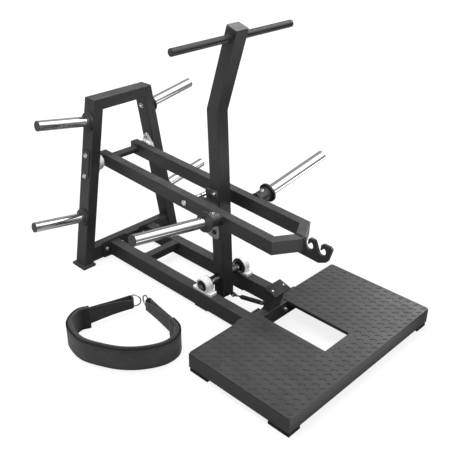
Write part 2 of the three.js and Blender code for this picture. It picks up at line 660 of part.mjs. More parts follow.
// A catch plate. Its ledge under the pin is an arc about the post pivot, so the post swings free
// while the pin rests on it, and a tooth stands ahead of the pin with a throat before it.
function catchShape() {
  const pin = catchPinPlace();
  const ledge = pin.distance - catchPin.radius - runGap;
  const around = (radius, angle) => [-radius * Math.sin(angle), radius * Math.cos(angle)];
  const toothBack = pin.angle - (catchPin.radius + catchPlate.toothGap) / ledge;
  const toothTop = ledge + catchPlate.tooth;
  const toothFront = toothBack - catchPlate.toothWidth / ledge;
  const throatFront = toothFront - catchPlate.throat / ledge;
  const ledgeEnd = pin.angle + catchPlate.fingerEnd / ledge;
  const underside = ledge - catchPlate.finger;
  const shape = new THREE.Shape();
  shape.moveTo(catchPlate.front - catchPlate.finger, catchPlate.bottom);
  shape.lineTo(catchPlate.front, catchPlate.bottom + catchPlate.finger);
  shape.lineTo(catchPlate.front, catchPlate.top);
  shape.lineTo(...around(catchPlate.top, throatFront - catchPlate.topCorner / ledge));
  shape.lineTo(...around(catchPlate.top - catchPlate.topCorner, throatFront));
  const floor = new THREE.Vector2(...around(ledge + catchPlate.finger / 2, (throatFront + toothFront) / 2));
  shape.lineTo(...around(ledge + catchPlate.finger, throatFront));
  shape.quadraticCurveTo(...floor.toArray(), ...around(ledge + catchPlate.finger, toothFront));
  shape.lineTo(...around(toothTop, (toothFront + toothBack) / 2));
  shape.lineTo(...around(ledge + catchPlate.tooth / 2, toothBack));
  shape.lineTo(...around(ledge, toothBack));
  shape.absarc(0, 0, ledge, quarter + toothBack, quarter + ledgeEnd);
  shape.lineTo(...around(underside, ledgeEnd));
  shape.absarc(0, 0, underside, quarter + ledgeEnd, quarter + toothFront, true);
  shape.lineTo(-catchPlate.back, catchPlate.bottom + catchPlate.finger);
  shape.lineTo(-catchPlate.throat, catchPlate.bottom);
  shape.closePath();
  return shape;
}

// A U-shaped bracket on a plate square to X, with a pin across its cheeks at the given reach
function bracket(reach) {
  const cheekGap = strut.eyeWidth / 2 + runGap;
  const cheekShape = new THREE.Shape();
  cheekShape.moveTo(0, -strut.eye);
  cheekShape.absarc(reach, 0, strut.eye, -quarter, quarter);
  cheekShape.lineTo(0, strut.eye);
  cheekShape.closePath();
  const cheekY = cheekGap + strut.cheek / 2;
  const cheek = standingPlate(cheekShape, strut.cheek);
  const base = new THREE.BoxGeometry(strut.base, 2 * (cheekGap + 2 * strut.cheek), strut.lugHeight);
  const pin = bar(strut.pin, 2 * (cheekGap + strut.cheek));
  const cheeks = [moved(cheek, [0, cheekY, 0]), moved(cheek, [0, -cheekY, 0])];
  return joined(moved(base, [strut.base / 2, 0, 0]), ...cheeks, moved(pin, [reach, 0, 0]));
}

// Damper strut: a body that turns on a lug behind the deck, and a rod that slides in it
function damperStrut() {
  const group = new THREE.Group();
  const lugPin = spot(deckRear - weldGap - strut.lugReach, 0, beamTop - strut.deckDrop);
  const lug = moved(bracket(strut.lugReach), [0, 0, 0], [0, 0, 2 * quarter]);
  piece(group, "strut_lug", lug, finishes.darkSteel, [deckRear - weldGap, 0, lugPin.z]);

  const postPin = spot(postTube.deep / 2 + weldGap + strut.postReach, 0, -strut.postDrop)
    .applyAxisAngle(alongY, -postLean).add(spot(postPivotSetback, 0, postPivotHeight));
  const run = postPin.clone().sub(lugPin);
  const tilt = Math.atan2(-run.z, run.x);
  const eyeCylinder = bar(strut.eye, strut.eyeWidth);
  const rodStart = strut.bodyLength - strut.rodInside;
  const neck = strut.eye + runGap + overrun;
  const boreRadius = strut.rod + strut.bore;
  const barrel = turned([
    [0, 0], [strut.rod, 0], [strut.rod, neck], [strut.body, neck], [strut.body, strut.bodyLength],
    [boreRadius, strut.bodyLength], [boreRadius, rodStart - overrun], [0, rodStart - overrun],
  ], boreSides).rotateZ(-quarter);
  const body = cut(joined(barrel, eyeCylinder), drill(strut.pin + runGap, strut.eyeWidth + overrun));
  piece(group, "strut_body", body, finishes.powder, lugPin.toArray(), [0, tilt, 0]);

  const reach = run.length();
  const shank = turned([[0, rodStart], [strut.rod, rodStart], [strut.rod, reach], [0, reach]], boreSides)
    .rotateZ(-quarter);
  const farEye = moved(eyeCylinder, [reach, 0, 0]);
  const farBore = moved(drill(strut.pin + strut.openPivot, strut.eyeWidth + overrun), [reach, 0, 0]);
  const rod = cut(joined(shank, farEye), farBore);
  piece(group, "strut_rod", rod, finishes.chrome, lugPin.toArray(), [0, tilt, 0]);
  return group;
}

// Lifting belt. The outer face of the band runs through places given as shares of the belt's spans,
// from its left end round the front to its right end.
const bandPlaceShares = [
  [0.035, 0.45], [0, 0.33], [0.03, 0.2], [0.12, 0.07], [0.26, 0.01], [0.42, 0], [0.6, 0.08], [0.78, 0.21],
  [0.92, 0.4], [1, 0.63], [0.98, 0.82], [0.88, 0.95], [0.75, 1],
];
const bandSteps = 32;
const padEndSteps = 1;
const bandCurve = new THREE.CatmullRomCurve3(bandPlaceShares.map(([shareX, shareY]) =>
  spot(belt.rearX + shareX * belt.spanX, shareY * belt.spanY - belt.farY - belt.spanY, 0)));
const beltMiddle = belt.padHeight / 2;

// A place at a share of the band's length, set in from its outer face
function insideBand(share, inset) {
  const inward = alongZ.clone().cross(bandCurve.getTangentAt(share));
  return { place: bandCurve.getPointAt(share).addScaledVector(inward, inset), inward };
}

// A band of the given section along the curve, some steps short of the curve's ends
function curvedBand(thick, height, corner, inset, endSteps) {
  const loop = roundedLoop(thick, height, corner);
  const rows = Array.from({ length: bandSteps + 1 - 2 * endSteps }, (_, step) => {
    const { place, inward } = insideBand((step + endSteps) / bandSteps, inset + thick / 2);
    return loop.map((point) => place.clone().addScaledVector(inward, point.x)
      .addScaledVector(alongZ, beltMiddle + point.y));
  });
  return stitched(rows, false);
}

// The outline round two circles on the X axis, the first at the origin
function roundedLink(path, startRadius, endRadius, length, clockwise = false) {
  const lean = Math.asin((startRadius - endRadius) / length);
  if (clockwise) {
    path.absarc(0, 0, startRadius, 3 * quarter + lean, quarter - lean, true);
    path.absarc(length, 0, endRadius, quarter - lean, lean - quarter, true);
  } else {
    path.absarc(0, 0, startRadius, quarter - lean, 3 * quarter + lean);
    path.absarc(length, 0, endRadius, lean - quarter, quarter - lean);
  }
  return path;
}

function headingOf(run) {
  return Math.atan2(run.y, run.x);
}

// A loop of webbing from a root at the band's end to a ring's bar, lower at the ring
function strapLoop(root, tip) {
  const run = tip.clone().sub(root);
  const length = run.length();
  const tipGap = ring.wire + ring.play;
  const shape = roundedLink(new THREE.Shape(), strap.rootGap + strap.ply, tipGap + strap.ply, length);
  shape.holes.push(roundedLink(new THREE.Path(), strap.rootGap, tipGap, length, true));
  const geometry = new THREE.ExtrudeGeometry(shape, { depth: 1, bevelEnabled: false, curveSegments: arcSteps });
  const spots = geometry.attributes.position;
  for (let i = 0; i < spots.count; i += 1) {
    const share = THREE.MathUtils.clamp(spots.getX(i) / length, 0, 1);
    const height = THREE.MathUtils.lerp(strap.rootHeight, strap.tipHeight, share);
    spots.setZ(i, beltMiddle + height * (spots.getZ(i) - 1 / 2));
  }
  return moved(outward(geometry), root.toArray(), [0, 0, headingOf(run)]);
}

// A D-ring in the XZ plane with its straight bar on the Z axis
function dRing() {
  const half = ring.height / 2;
  const { corner, width } = ring;
  const path = new THREE.Path();
  path.moveTo(0, corner - half);
  path.lineTo(0, half - corner);
  path.absarc(corner, half - corner, corner, 2 * quarter, quarter, true);
  path.absellipse(corner, 0, width - corner, half, quarter, -quarter, true);
  path.absarc(corner, corner - half, corner, -quarter, -2 * quarter, true);
  const outline = path.getPoints(arcSteps).slice(0, -1).map((point) => spot(point.x, 0, point.y));
  const places = outline.filter((place, i) => place.distanceTo(outline.at(i - 1)) > weldGap);
  const sides = arcSteps;
  const rows = places.map((place, i) => {
    const heading = places[(i + 1) % places.length].clone().sub(places.at(i - 1)).normalize();
    const sideways = alongY.clone().cross(heading);
    return Array.from({ length: sides }, (_, side) => {
      const angle = 4 * quarter * side / sides;
      return place.clone().addScaledVector(sideways, ring.wire * Math.cos(angle))
        .addScaledVector(alongY, ring.wire * Math.sin(angle));
    });
  });
  return stitched(rows, true);
}

function liftingBelt() {
  const group = new THREE.Group();
  const padInset = belt.band + weldGap;
  const pad = curvedBand(belt.pad, belt.padHeight, belt.round, padInset, padEndSteps);
  piece(group, "belt_pad", pad, finishes.leather);
  const band = curvedBand(belt.band, belt.bandHeight, belt.bandRound, 0, 0);
  const loops = [[0, "left", leftRing], [1, "right", rightRing]].map(([share, name, { x, y, turn }]) => {
    const root = insideBand(share, belt.band / 2).place;
    const tip = spot(x, -y, 0);
    const heading = headingOf(tip.clone().sub(root)) + turn;
    piece(group, `${name}_belt_ring`, dRing(), finishes.chrome, [x, -y, beltMiddle], [0, 0, heading]);
    return strapLoop(root, tip);
  });
  piece(group, "belt_band", joined(band, ...loops), finishes.leather);
  return group;
}

// The whole machine, with the middle of its footprint at the origin and the floor at z = 0
const machine = new THREE.Group();
machine.add(rearFrame(), armBearings(), floorFrame(), standingDeck(), damperStrut(), liftingBelt());

const lever = leverArm();
lever.position.set(0, 0, armPivotHeight);
lever.rotation.y = armDroop;
machine.add(lever);

const post = swingPost();
post.position.set(postPivotSetback, 0, postPivotHeight);
post.rotation.y = -postLean;
machine.add(post);

machine.updateMatrixWorld(true);
const footprint = new THREE.Box3().setFromObject(machine, true);
const middle = footprint.getCenter(new THREE.Vector3());
machine.position.set(-middle.x, -middle.y, -footprint.min.z);

export default machine;
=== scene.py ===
"""Looks of a belt squat machine: finishes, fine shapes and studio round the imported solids.

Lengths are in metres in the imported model's frame: +X from the rear frame to the standing deck,
+Y to the left, +Z up. The machine is alike on both sides of its middle plane.
"""
import json
import logging
import math
from collections.abc import Iterable, Sequence
from dataclasses import dataclass
from enum import Enum
from itertools import product

import bmesh
import bpy
from mathutils import Matrix, Vector, noise


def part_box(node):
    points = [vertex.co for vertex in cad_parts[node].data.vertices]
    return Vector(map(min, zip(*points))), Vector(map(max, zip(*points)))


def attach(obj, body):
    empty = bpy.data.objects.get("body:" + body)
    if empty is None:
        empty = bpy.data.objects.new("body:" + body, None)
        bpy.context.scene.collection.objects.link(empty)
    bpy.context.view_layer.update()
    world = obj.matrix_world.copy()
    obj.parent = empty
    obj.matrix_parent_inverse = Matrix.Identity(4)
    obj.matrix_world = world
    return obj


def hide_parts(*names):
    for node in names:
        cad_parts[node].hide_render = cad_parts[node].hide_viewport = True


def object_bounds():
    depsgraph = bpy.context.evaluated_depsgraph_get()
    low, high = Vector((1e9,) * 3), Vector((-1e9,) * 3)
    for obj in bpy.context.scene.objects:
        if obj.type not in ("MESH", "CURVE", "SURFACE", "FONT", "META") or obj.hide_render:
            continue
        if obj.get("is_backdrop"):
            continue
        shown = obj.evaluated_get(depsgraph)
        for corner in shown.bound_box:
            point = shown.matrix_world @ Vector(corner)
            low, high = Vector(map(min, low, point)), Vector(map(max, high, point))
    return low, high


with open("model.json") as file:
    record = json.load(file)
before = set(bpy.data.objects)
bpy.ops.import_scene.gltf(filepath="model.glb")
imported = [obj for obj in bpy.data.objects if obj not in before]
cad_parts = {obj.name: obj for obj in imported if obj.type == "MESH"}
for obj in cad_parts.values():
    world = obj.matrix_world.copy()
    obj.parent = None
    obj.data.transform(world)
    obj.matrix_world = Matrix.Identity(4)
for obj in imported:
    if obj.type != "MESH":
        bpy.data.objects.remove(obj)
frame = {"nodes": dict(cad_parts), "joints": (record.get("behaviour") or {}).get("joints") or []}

CAD_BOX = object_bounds()
QUARTER = math.pi / 2
UP = Vector((0, 0, 1))
FORWARD = Vector((1, 0, 0))
LEFTWARD = Vector((0, 1, 0))

# The hairline between a fitted piece and what carries it, the radii of the weld beads, the way
# from one point of a bead to the next, and the angle above which an edge is rounded.
GAP = 0.0003
WELD = 0.0026
FINE_WELD = 0.0024
BEAD_STEP = 0.0022
SHARP = math.radians(32)

log = logging.getLogger("belt_squat_machine")

Colour = tuple[float, float, float, float]
Point = tuple[float, float]
Outline = list[Point]
Socket = bpy.types.NodeSocket
Feed = Socket | float | tuple[float, ...]


def grey(level: float, warmth: float = 0.0) -> Colour:
    """Gives a linear grey, warm above zero and cool below it."""
    return (level * (1 + warmth), level, level * (1 - warmth), 1.0)


def centre(node: str) -> Vector:
    """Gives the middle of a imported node's box."""
    low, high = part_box(node)
    return (low + high) / 2


def half_across(node: str) -> float:
    """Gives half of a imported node's width from side to side."""
    low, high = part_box(node)
    return (high.y - low.y) / 2


def joint(name: str) -> dict:
    """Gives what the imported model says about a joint."""
    return next(known for known in frame["joints"] if known["name"] == name)


class Side(Enum):
    """The two sides of the machine."""

    LEFT = 1
    RIGHT = -1

    @property
    def word(self) -> str:
        """The side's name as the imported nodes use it."""
        return self.name.lower()

    @property
    def out(self) -> Vector:
        """The direction from the middle plane to this side."""
        return LEFTWARD * self.value


def both(*parts: str) -> list[str]:
    """Gives the names of the left and the right one of each part."""
    return [f"{side.word}_{part}" for part in parts for side in Side]


class Across(Enum):
    """Which way a brushed or drawn metal's fine lines run."""

    ROUND = (1.0, 1.0, 0.02)
    LENGTHWISE = (0.03, 1.0, 1.0)
    NONE = (1.0, 1.0, 1.0)


# Shader wiring


class Wiring:
    """Places and joins the nodes of one node tree."""

    def __init__(self, tree: bpy.types.NodeTree) -> None:
        """Takes the tree that the nodes go into."""
        self.tree = tree

    def node(self, kind: str, **settings: object) -> bpy.types.Node:
        """Adds a node.

        Args:
            kind: The node's Blender type name.
            **settings: Properties to set on the node.

        Returns:
            The new node.
        """
        made = self.tree.nodes.new(kind)
        for name, setting in settings.items():
            setattr(made, name, setting)
        return made

    def feed(self, target: Socket, source: Feed) -> None:
        """Links a socket to its source, or sets it to a plain value.

        Args:
            target: The input socket.
            source: An output socket, a number or a tuple of numbers.
        """
        if isinstance(source, bpy.types.NodeSocket):
            self.tree.links.new(source, target)
        else:
            target.default_value = source

    def give(self, made: bpy.types.Node, **feeds: Feed) -> bpy.types.Node:
        """Feeds a node's inputs by name.

        Args:
            made: The node.
            **feeds: What each input takes, with _ for a space in its name.

        Returns:
            The node.
        """
        for name, source in feeds.items():
            self.feed(made.inputs[name.replace("_", " ")], source)
        return made

    def fill(self, made: bpy.types.Node, *feeds: Feed) -> bpy.types.Node:
        """Feeds a node's inputs in their order.

        Args:
            made: The node.
            *feeds: What its first inputs take.

        Returns:
            The node.
        """
        for target, source in zip(made.inputs, feeds):
            self.feed(target, source)
        return made

    def maths(self, operation: str, *feeds: Feed) -> Socket:
        """Gives the result of a maths node."""
        return self.fill(self.node("ShaderNodeMath", operation=operation), *feeds).outputs[0]

    def times(self, first: Feed, second: Feed) -> Socket:
        """Multiplies two values."""
        return self.maths("MULTIPLY", first, second)

    def vectors(self, operation: str, *feeds: Feed) -> bpy.types.Node:
        """Gives a vector maths node, whose result leaves by Vector or by Value."""
        return self.fill(self.node("ShaderNodeVectorMath", operation=operation), *feeds)

    def split(self, vector: Socket) -> tuple[Socket, ...]:
        """Splits a vector into its X, Y and Z."""
        return tuple(self.fill(self.node("ShaderNodeSeparateXYZ"), vector).outputs)

    def mapped(self, kind: str = "Object") -> Socket:
        """Gives the coordinates of the shaded point."""
        return self.node("ShaderNodeTexCoord").outputs[kind]

    def surface(self, kind: str) -> Socket:
        """Gives the normal or the position of the shaded point."""
        return self.node("ShaderNodeNewGeometry").outputs[kind]

    def spread(self, value: Feed, low: float, high: float, to_low: float = 0.0,
               to_high: float = 1.0) -> Socket:
        """Maps the range from `low` to `high` smoothly onto the one from `to_low` to `to_high`."""
        ranged = self.node("ShaderNodeMapRange", interpolation_type="SMOOTHSTEP")
        return self.fill(ranged, value, low, high, to_low, to_high).outputs[0]

    def tint(self, factor: Feed, first: Feed, second: Feed, mode: str = "MIX") -> Socket:
        """Mixes two colours.

        Args:
            factor: The share of the second colour.
            first: The first colour.
            second: The second colour.
            mode: Blender's name of the blend.

        Returns:
            The mixed colour.
        """
        made = self.node("ShaderNodeMix", data_type="RGBA", blend_type=mode)
        for at, source in ((0, factor), (6, first), (7, second)):
            self.feed(made.inputs[at], source)
        return made.outputs[2]

    def speckle(self, place: Socket, scale: Feed, detail: float = 2.0, roughness: float = 0.5) -> Socket:
        """Adds a noise texture.

        Args:
            place: The coordinates that it is sampled at.
            scale: Its grains in a metre.
            detail: Its octaves.
            roughness: How strong the finer octaves are.

        Returns:
            The noise, about 0.5 in the middle.
        """
        made = self.node("ShaderNodeTexNoise")
        return self.give(made, Vector=place, Scale=scale, Detail=detail, Roughness=roughness).outputs[0]


@dataclass(frozen=True)
class Effect:
    """A shader node group that several finishes share: its name and its inputs' usual values."""

    name: str
    inputs: tuple[tuple[str, float], ...]

    def wire(self, wiring: Wiring, given: bpy.types.Node) -> dict[str, Socket]:
        """Builds the inside of the group.

        Args:
            wiring: The group's wiring.
            given: The group's input node.

        Returns:
            What the group puts out, by name.
        """
        raise NotImplementedError

    def tree(self) -> bpy.types.NodeTree:
        """Builds the group once.

        Returns:
            The group's node tree.
        """
        known = bpy.data.node_groups.get(self.name)
        if known is not None:
            return known
        made = bpy.data.node_groups.new(self.name, "ShaderNodeTree")
        for name, usual in self.inputs:
            taken = made.interface.new_socket(name, in_out="INPUT", socket_type="NodeSocketFloat")
            taken.default_value = usual
        wiring = Wiring(made)
        results = self.wire(wiring, wiring.node("NodeGroupInput"))
        for name in results:
            made.interface.new_socket(name, in_out="OUTPUT", socket_type="NodeSocketFloat")
        wiring.give(wiring.node("NodeGroupOutput"), **results)
        return made

    def place(self, wiring: Wiring, **values: Feed) -> dict[str, Socket]:
        """Places the group in a material.

        Args:
            wiring: The material's wiring.
            **values: The material's own values for the group's inputs, with _ for a space.

        Returns:
            The group's outputs by name.
        """
        made = wiring.give(wiring.node("ShaderNodeGroup", node_tree=self.tree()), **values)
        return {socket.name: socket for socket in made.outputs}


class OrangePeel(Effect):
    """The fine dimpled skin of a sprayed or baked coat, with a slow drift of its tone."""

    def wire(self, wiring: Wiring, given: bpy.types.Node) -> dict[str, Socket]:
        """Builds the inside of the group.

        Args:
            wiring: The group's wiring.
            given: The group's input node.

        Returns:
            The height of the dimples, the drift of the tone and a mask of flecks.
        """
        place, drift = wiring.mapped(), given.outputs["Drift"]
        fine = wiring.speckle(place, given.outputs["Grain"], 2.0, 0.4)
        broad = wiring.times(wiring.speckle(place, drift, 3.0, 0.55), 0.7)
        streak = wiring.times(wiring.speckle(place, wiring.times(drift, 6.0)), 0.3)
        tone = wiring.spread(wiring.maths("ADD", broad, streak), 0.32, 0.68)
        return {"Height": fine, "Tone": tone, "Fleck": wiring.spread(fine, 0.56, 0.7)}


class RubbedEdge(Effect):
    """A thin uneven line along outer edges, standing for rubbing and also for a painted highlight along them.
    """

    def wire(self, wiring: Wiring, given: bpy.types.Node) -> dict[str, Socket]:
        """Builds the inside of the group.

        Args:
            wiring: The group's wiring.
            given: The group's input node.

        Returns:
            The mask of the line.
        """
        rounded = wiring.give(wiring.node("ShaderNodeBevel", samples=4), Radius=given.outputs["Reach"])
        near = wiring.vectors("DOT_PRODUCT", rounded.outputs[0], wiring.surface("Normal"))
        line = wiring.spread(near.outputs["Value"], 0.99, 0.86)
        patches = wiring.spread(wiring.speckle(wiring.mapped(), 38.0, 4.0, 0.65), 0.4, 0.62)
        return {"Mask": wiring.times(wiring.times(line, patches), given.outputs["Amount"])}


class SettledDust(Effect):
    """Lightens faces that look up: settled dusting and chalk, plus painted top light for the light that falls
    from above.
    """

    def wire(self, wiring: Wiring, given: bpy.types.Node) -> dict[str, Socket]:
        """Builds the inside of the group.

        Args:
            wiring: The group's wiring.
            given: The group's input node.

        Returns:
            The mask of the dusting and painted top light.
        """
        lying = wiring.spread(wiring.split(wiring.surface("Normal"))[2], 0.55, 0.98)
        cloud = wiring.spread(wiring.speckle(wiring.mapped(), 9.0, 5.0, 0.6), 0.3, 0.75)
        return {"Mask": wiring.times(wiring.times(lying, cloud), given.outputs["Amount"])}


class DrawnLines(Effect):
    """Fine lines left by drawing, turning or polishing a metal."""

    def wire(self, wiring: Wiring, given: bpy.types.Node) -> dict[str, Socket]:
        """Builds the inside of the group.

        Args:
            wiring: The group's wiring.
            given: The group's input node.

        Returns:
            The height of the lines and a mask of haze.
        """
        place = wiring.mapped()
        ways = (given.outputs[f"Along {axis}"] for axis in "XYZ")
        stretch = wiring.fill(wiring.node("ShaderNodeCombineXYZ"), *ways).outputs[0]
        drawn = wiring.vectors("MULTIPLY", place, stretch).outputs["Vector"]
        haze = wiring.spread(wiring.speckle(place, 14.0, 4.0, 0.6), 0.4, 0.75)
        return {"Height": wiring.speckle(drawn, 700.0, 3.0, 0.6), "Haze": haze}


class PlainWeave(Effect):
    """Warp and weft of a woven band, laid by the band's own length and height."""

    def wire(self, wiring: Wiring, given: bpy.types.Node) -> dict[str, Socket]:
        """Builds the inside of the group.

        Args:
            wiring: The group's wiring.
            given: The group's input node.

        Returns:
            The height of the threads and the drift of the tone.
        """
        turns = wiring.times(given.outputs["Threads"], math.pi)
        warp, weft = (wiring.maths("SINE", wiring.times(way, turns))
                      for way in wiring.split(wiring.mapped("UV"))[:2])
        crown = wiring.maths("ADD", wiring.maths("ABSOLUTE", warp), wiring.maths("ABSOLUTE", weft))
        over = wiring.times(wiring.times(warp, weft), 0.4)
        threads = wiring.maths("ADD", over, wiring.times(crown, 0.3))
        place = wiring.mapped()
        fuzz = wiring.times(wiring.speckle(place, 1500.0, 2.0, 0.7), 0.3)
        tone = wiring.spread(wiring.speckle(place, 12.0, 4.0, 0.6), 0.3, 0.7)
        return {"Height": wiring.maths("ADD", threads, fuzz), "Tone": tone}


ORANGE_PEEL = OrangePeel("orange peel", (("Grain", 900.0), ("Drift", 4.0)))
# The next group draws a thin line along edges: partly rubbing, partly a painted highlight.
RUBBED_AND_HIGHLIT_EDGE = RubbedEdge("rubbed edge", (("Reach", 0.003), ("Amount", 0.5)))
# The next group lightens faces that look up: partly settled dusting, partly painted top light.
DUST_AND_TOP_LIGHT = SettledDust("settled dust", (("Amount", 0.5),))
DRAWN_LINES = DrawnLines("drawn lines", (("Along X", 1.0), ("Along Y", 1.0), ("Along Z", 1.0)))
PLAIN_WEAVE = PlainWeave("plain weave", (("Threads", 900.0),))


# Finishes


@dataclass(frozen=True)
class Finish:
    """What every finish has.

    Its name, the record's slot that it belongs to, its base colour and roughness, how dark and
    how light the colour drifts, how far the roughness drifts down and up, and the depth in
    metres and the strength of its relief.
    """

    name: str
    slot: str
    colour: Colour
    roughness: float
    tones: tuple[float, float] = (1.0, 1.0)
    drift: tuple[float, float] = (0.0, 0.0)
    depth: float = 0.0002
    strength: float = 0.6

    def dress(self, wiring: Wiring, shader: bpy.types.Node) -> None:
        """Wires the finish into its shader.

        Args:
            wiring: The material's wiring.
            shader: The material's shader.
        """
        raise NotImplementedError

    def material(self) -> bpy.types.Material:
        """Builds the material once.

        Returns:
            The finish as a material.
        """
        known = bpy.data.materials.get(self.name)
        if known is not None:
            return known
        made = bpy.data.materials.new(self.name)
        made.use_nodes = True
        made.diffuse_color = self.colour
        self.dress(Wiring(made.node_tree), made.node_tree.nodes["Principled BSDF"])
        return made

    def toned(self, wiring: Wiring, mask: Socket) -> Socket:
        """Lets the base colour drift with a mask, from its dark to its light tone."""
        deep, light = (tuple(part * tone for part in self.colour[:3]) + (1.0,) for tone in self.tones)
        return wiring.tint(mask, deep, light)

    def drifted(self, wiring: Wiring, mask: Socket) -> Socket:
        """Lets the roughness drift with a mask."""
        return wiring.spread(mask, 0.0, 1.0, self.roughness - self.drift[0], self.roughness + self.drift[1])

    def relief(self, wiring: Wiring, height: Socket) -> Socket:
        """Turns a height from 0 to 1 into a normal."""
        bump = wiring.node("ShaderNodeBump")
        return wiring.give(bump, Distance=self.depth, Strength=self.strength, Height=height).outputs[0]


@dataclass(frozen=True)
class BakedCoat(Finish):
    """A baked powder coat: dimpled skin, edges lighter and smoother from rubbing plus a painted highlight,
    and faces that look up lighter from dusting plus painted top light.
    """

    tones: tuple[float, float] = (0.86, 1.14)
    drift: tuple[float, float] = (0.05, 0.06)
    depth: float = 0.00025
    strength: float = 0.5
    # The edge line's colour stands for rubbing plus a painted highlight; the colour on faces that look up
    # stands for dusting plus painted top light.
    rubbed: Colour = grey(0.13)
    dusty: Colour = grey(0.07)
    grain: float = 850.0
    cloud: float = 5.0
    edge: float = 0.0022
    # The next value is the strength of the edge line (rubbing plus painted highlight), and the one after the
    # dust line is the strength of the dusting plus painted top light.
    wear: float = 0.85
    polish: float = 0.15
    dust: float = 0.15
    gloss: float = 0.5

    def dress(self, wiring: Wiring, shader: bpy.types.Node) -> None:
        """Wires the finish into its shader.

        Args:
            wiring: The material's wiring.
            shader: The material's shader.
        """
        peel = ORANGE_PEEL.place(wiring, Grain=self.grain, Drift=self.cloud)
        edge = RUBBED_AND_HIGHLIT_EDGE.place(wiring, Reach=self.edge, Amount=self.wear)["Mask"]
        dust = DUST_AND_TOP_LIGHT.place(wiring, Amount=self.dust)["Mask"]
        # Faces that look up are lightened, dusting plus painted top light; edges get a lighter line, rubbing
        # plus painted highlight.
        dusted_and_top_lit = wiring.tint(dust, self.toned(wiring, peel["Tone"]), self.dusty)
        polished = wiring.times(edge, self.polish)
        wiring.give(shader, Base_Color=wiring.tint(edge, dusted_and_top_lit, self.rubbed),
                    Roughness=wiring.maths("SUBTRACT", self.drifted(wiring, peel["Tone"]), polished),
                    Specular_IOR_Level=self.gloss, Normal=self.relief(wiring, peel["Height"]))


@dataclass(frozen=True)
class BareMetal(Finish):
    """Plated, turned or drawn metal with fine lines, duller and rougher where it is handled."""

    haze: Colour = grey(0.5)
    lines: Across = Across.NONE
    handled: float = 0.45
    smear: float = 1.7

    def dress(self, wiring: Wiring, shader: bpy.types.Node) -> None:
        """Wires the finish into its shader.

        Args:
            wiring: The material's wiring.
            shader: The material's shader.
        """
        along, across, upright = self.lines.value
        drawn = DRAWN_LINES.place(wiring, Along_X=along, Along_Y=across, Along_Z=upright)
        touched = wiring.times(drawn["Haze"], self.handled)
        rough = wiring.spread(drawn["Haze"], 0.0, 1.0, self.roughness, self.roughness * self.smear)
        wiring.give(shader, Base_Color=wiring.tint(touched, self.colour, self.haze), Roughness=rough,
                    Metallic=1.0, Normal=self.relief(wiring, drawn["Height"]))


@dataclass(frozen=True)
class CastCoat(Finish):
    """Bright paint over a sand casting: pebbled skin, darker flecks, thin wear at edges."""

    drift: tuple[float, float] = (0.06, 0.08)
    depth: float = 0.0005
    fleck: Colour = grey(0.45)
    flecked: float = 0.25
    rubbed: Colour = grey(0.35)
    grain: float = 420.0
    cloud: float = 22.0
    edge: float = 0.0015
    wear: float = 0.35

    def dress(self, wiring: Wiring, shader: bpy.types.Node) -> None:
        """Wires the finish into its shader.

        Args:
            wiring: The material's wiring.
            shader: The material's shader.
        """
        peel = ORANGE_PEEL.place(wiring, Grain=self.grain, Drift=self.cloud)
        edge = RUBBED_AND_HIGHLIT_EDGE.place(wiring, Reach=self.edge, Amount=self.wear)["Mask"]
        base = wiring.tint(wiring.times(peel["Fleck"], self.flecked), self.colour, self.fleck)
        wiring.give(shader, Base_Color=wiring.tint(edge, base, self.rubbed),
                    Roughness=self.drifted(wiring, peel["Tone"]), Metallic=0.05,
                    Normal=self.relief(wiring, peel["Height"]))


@dataclass(frozen=True)
class Moulded(Finish):
    """Moulded rubber or plastic: a spark-eroded grain, and faces that look up lighter from dusting plus
    painted top light.
    """

    tones: tuple[float, float] = (0.85, 1.0)
    drift: tuple[float, float] = (0.07, 0.05)
    dusty: Colour = grey(0.1)
    grain: float = 1300.0
    cloud: float = 16.0
    dust: float = 0.3
    gloss: float = 0.25

    def dress(self, wiring: Wiring, shader: bpy.types.Node) -> None:
        """Wires the finish into its shader.

        Args:
            wiring: The material's wiring.
            shader: The material's shader.
        """
        peel = ORANGE_PEEL.place(wiring, Grain=self.grain, Drift=self.cloud)
        dust = DUST_AND_TOP_LIGHT.place(wiring, Amount=self.dust)["Mask"]
        # Faces that look up are lightened: dusting plus painted top light.
        wiring.give(shader, Base_Color=wiring.tint(dust, self.toned(wiring, peel["Tone"]), self.dusty),
                    Roughness=self.drifted(wiring, peel["Tone"]), Specular_IOR_Level=self.gloss,
                    Normal=self.relief(wiring, peel["Height"]))


@dataclass(frozen=True)
class WovenBand(Finish):
    """Woven webbing or a woven cover: threads, a soft sheen and a slow drift of tone."""

    tones: tuple[float, float] = (0.78, 1.15)
    drift: tuple[float, float] = (0.05, 0.05)
    depth: float = 0.0006
    strength: float = 0.7
    threads: float = 700.0
    shaded: tuple[float, ...] = (0.1, 0.8, 0.72, 1.1)
    gloss: float = 0.2
    sheen: float = 0.25

    def dress(self, wiring: Wiring, shader: bpy.types.Node) -> None:
        """Wires the finish into its shader.

        Args:
            wiring: The material's wiring.
            shader: The material's shader.
        """
        weave = PLAIN_WEAVE.place(wiring, Threads=self.threads)
        shade = wiring.spread(weave["Height"], *self.shaded)
        wiring.give(shader, Base_Color=wiring.tint(1.0, self.toned(wiring, weave["Tone"]), shade, "MULTIPLY"),
                    Roughness=self.drifted(wiring, weave["Tone"]), Specular_IOR_Level=self.gloss,
                    Sheen_Weight=self.sheen, Sheen_Roughness=0.5, Normal=self.relief(wiring, weave["Height"]))


# Its strong top lightening is painted top light as much as dusting.
CHARCOAL = BakedCoat("charcoal powder coat", "powder_coat", grey(0.029, -0.01), 0.42, dust=0.4)
DECK_GREY = BakedCoat(
    "deck powder coat", "deck_coat", grey(0.029, -0.01), 0.46, rubbed=grey(0.14), dusty=grey(0.08),
    grain=600.0, wear=0.6, dust=0.2)
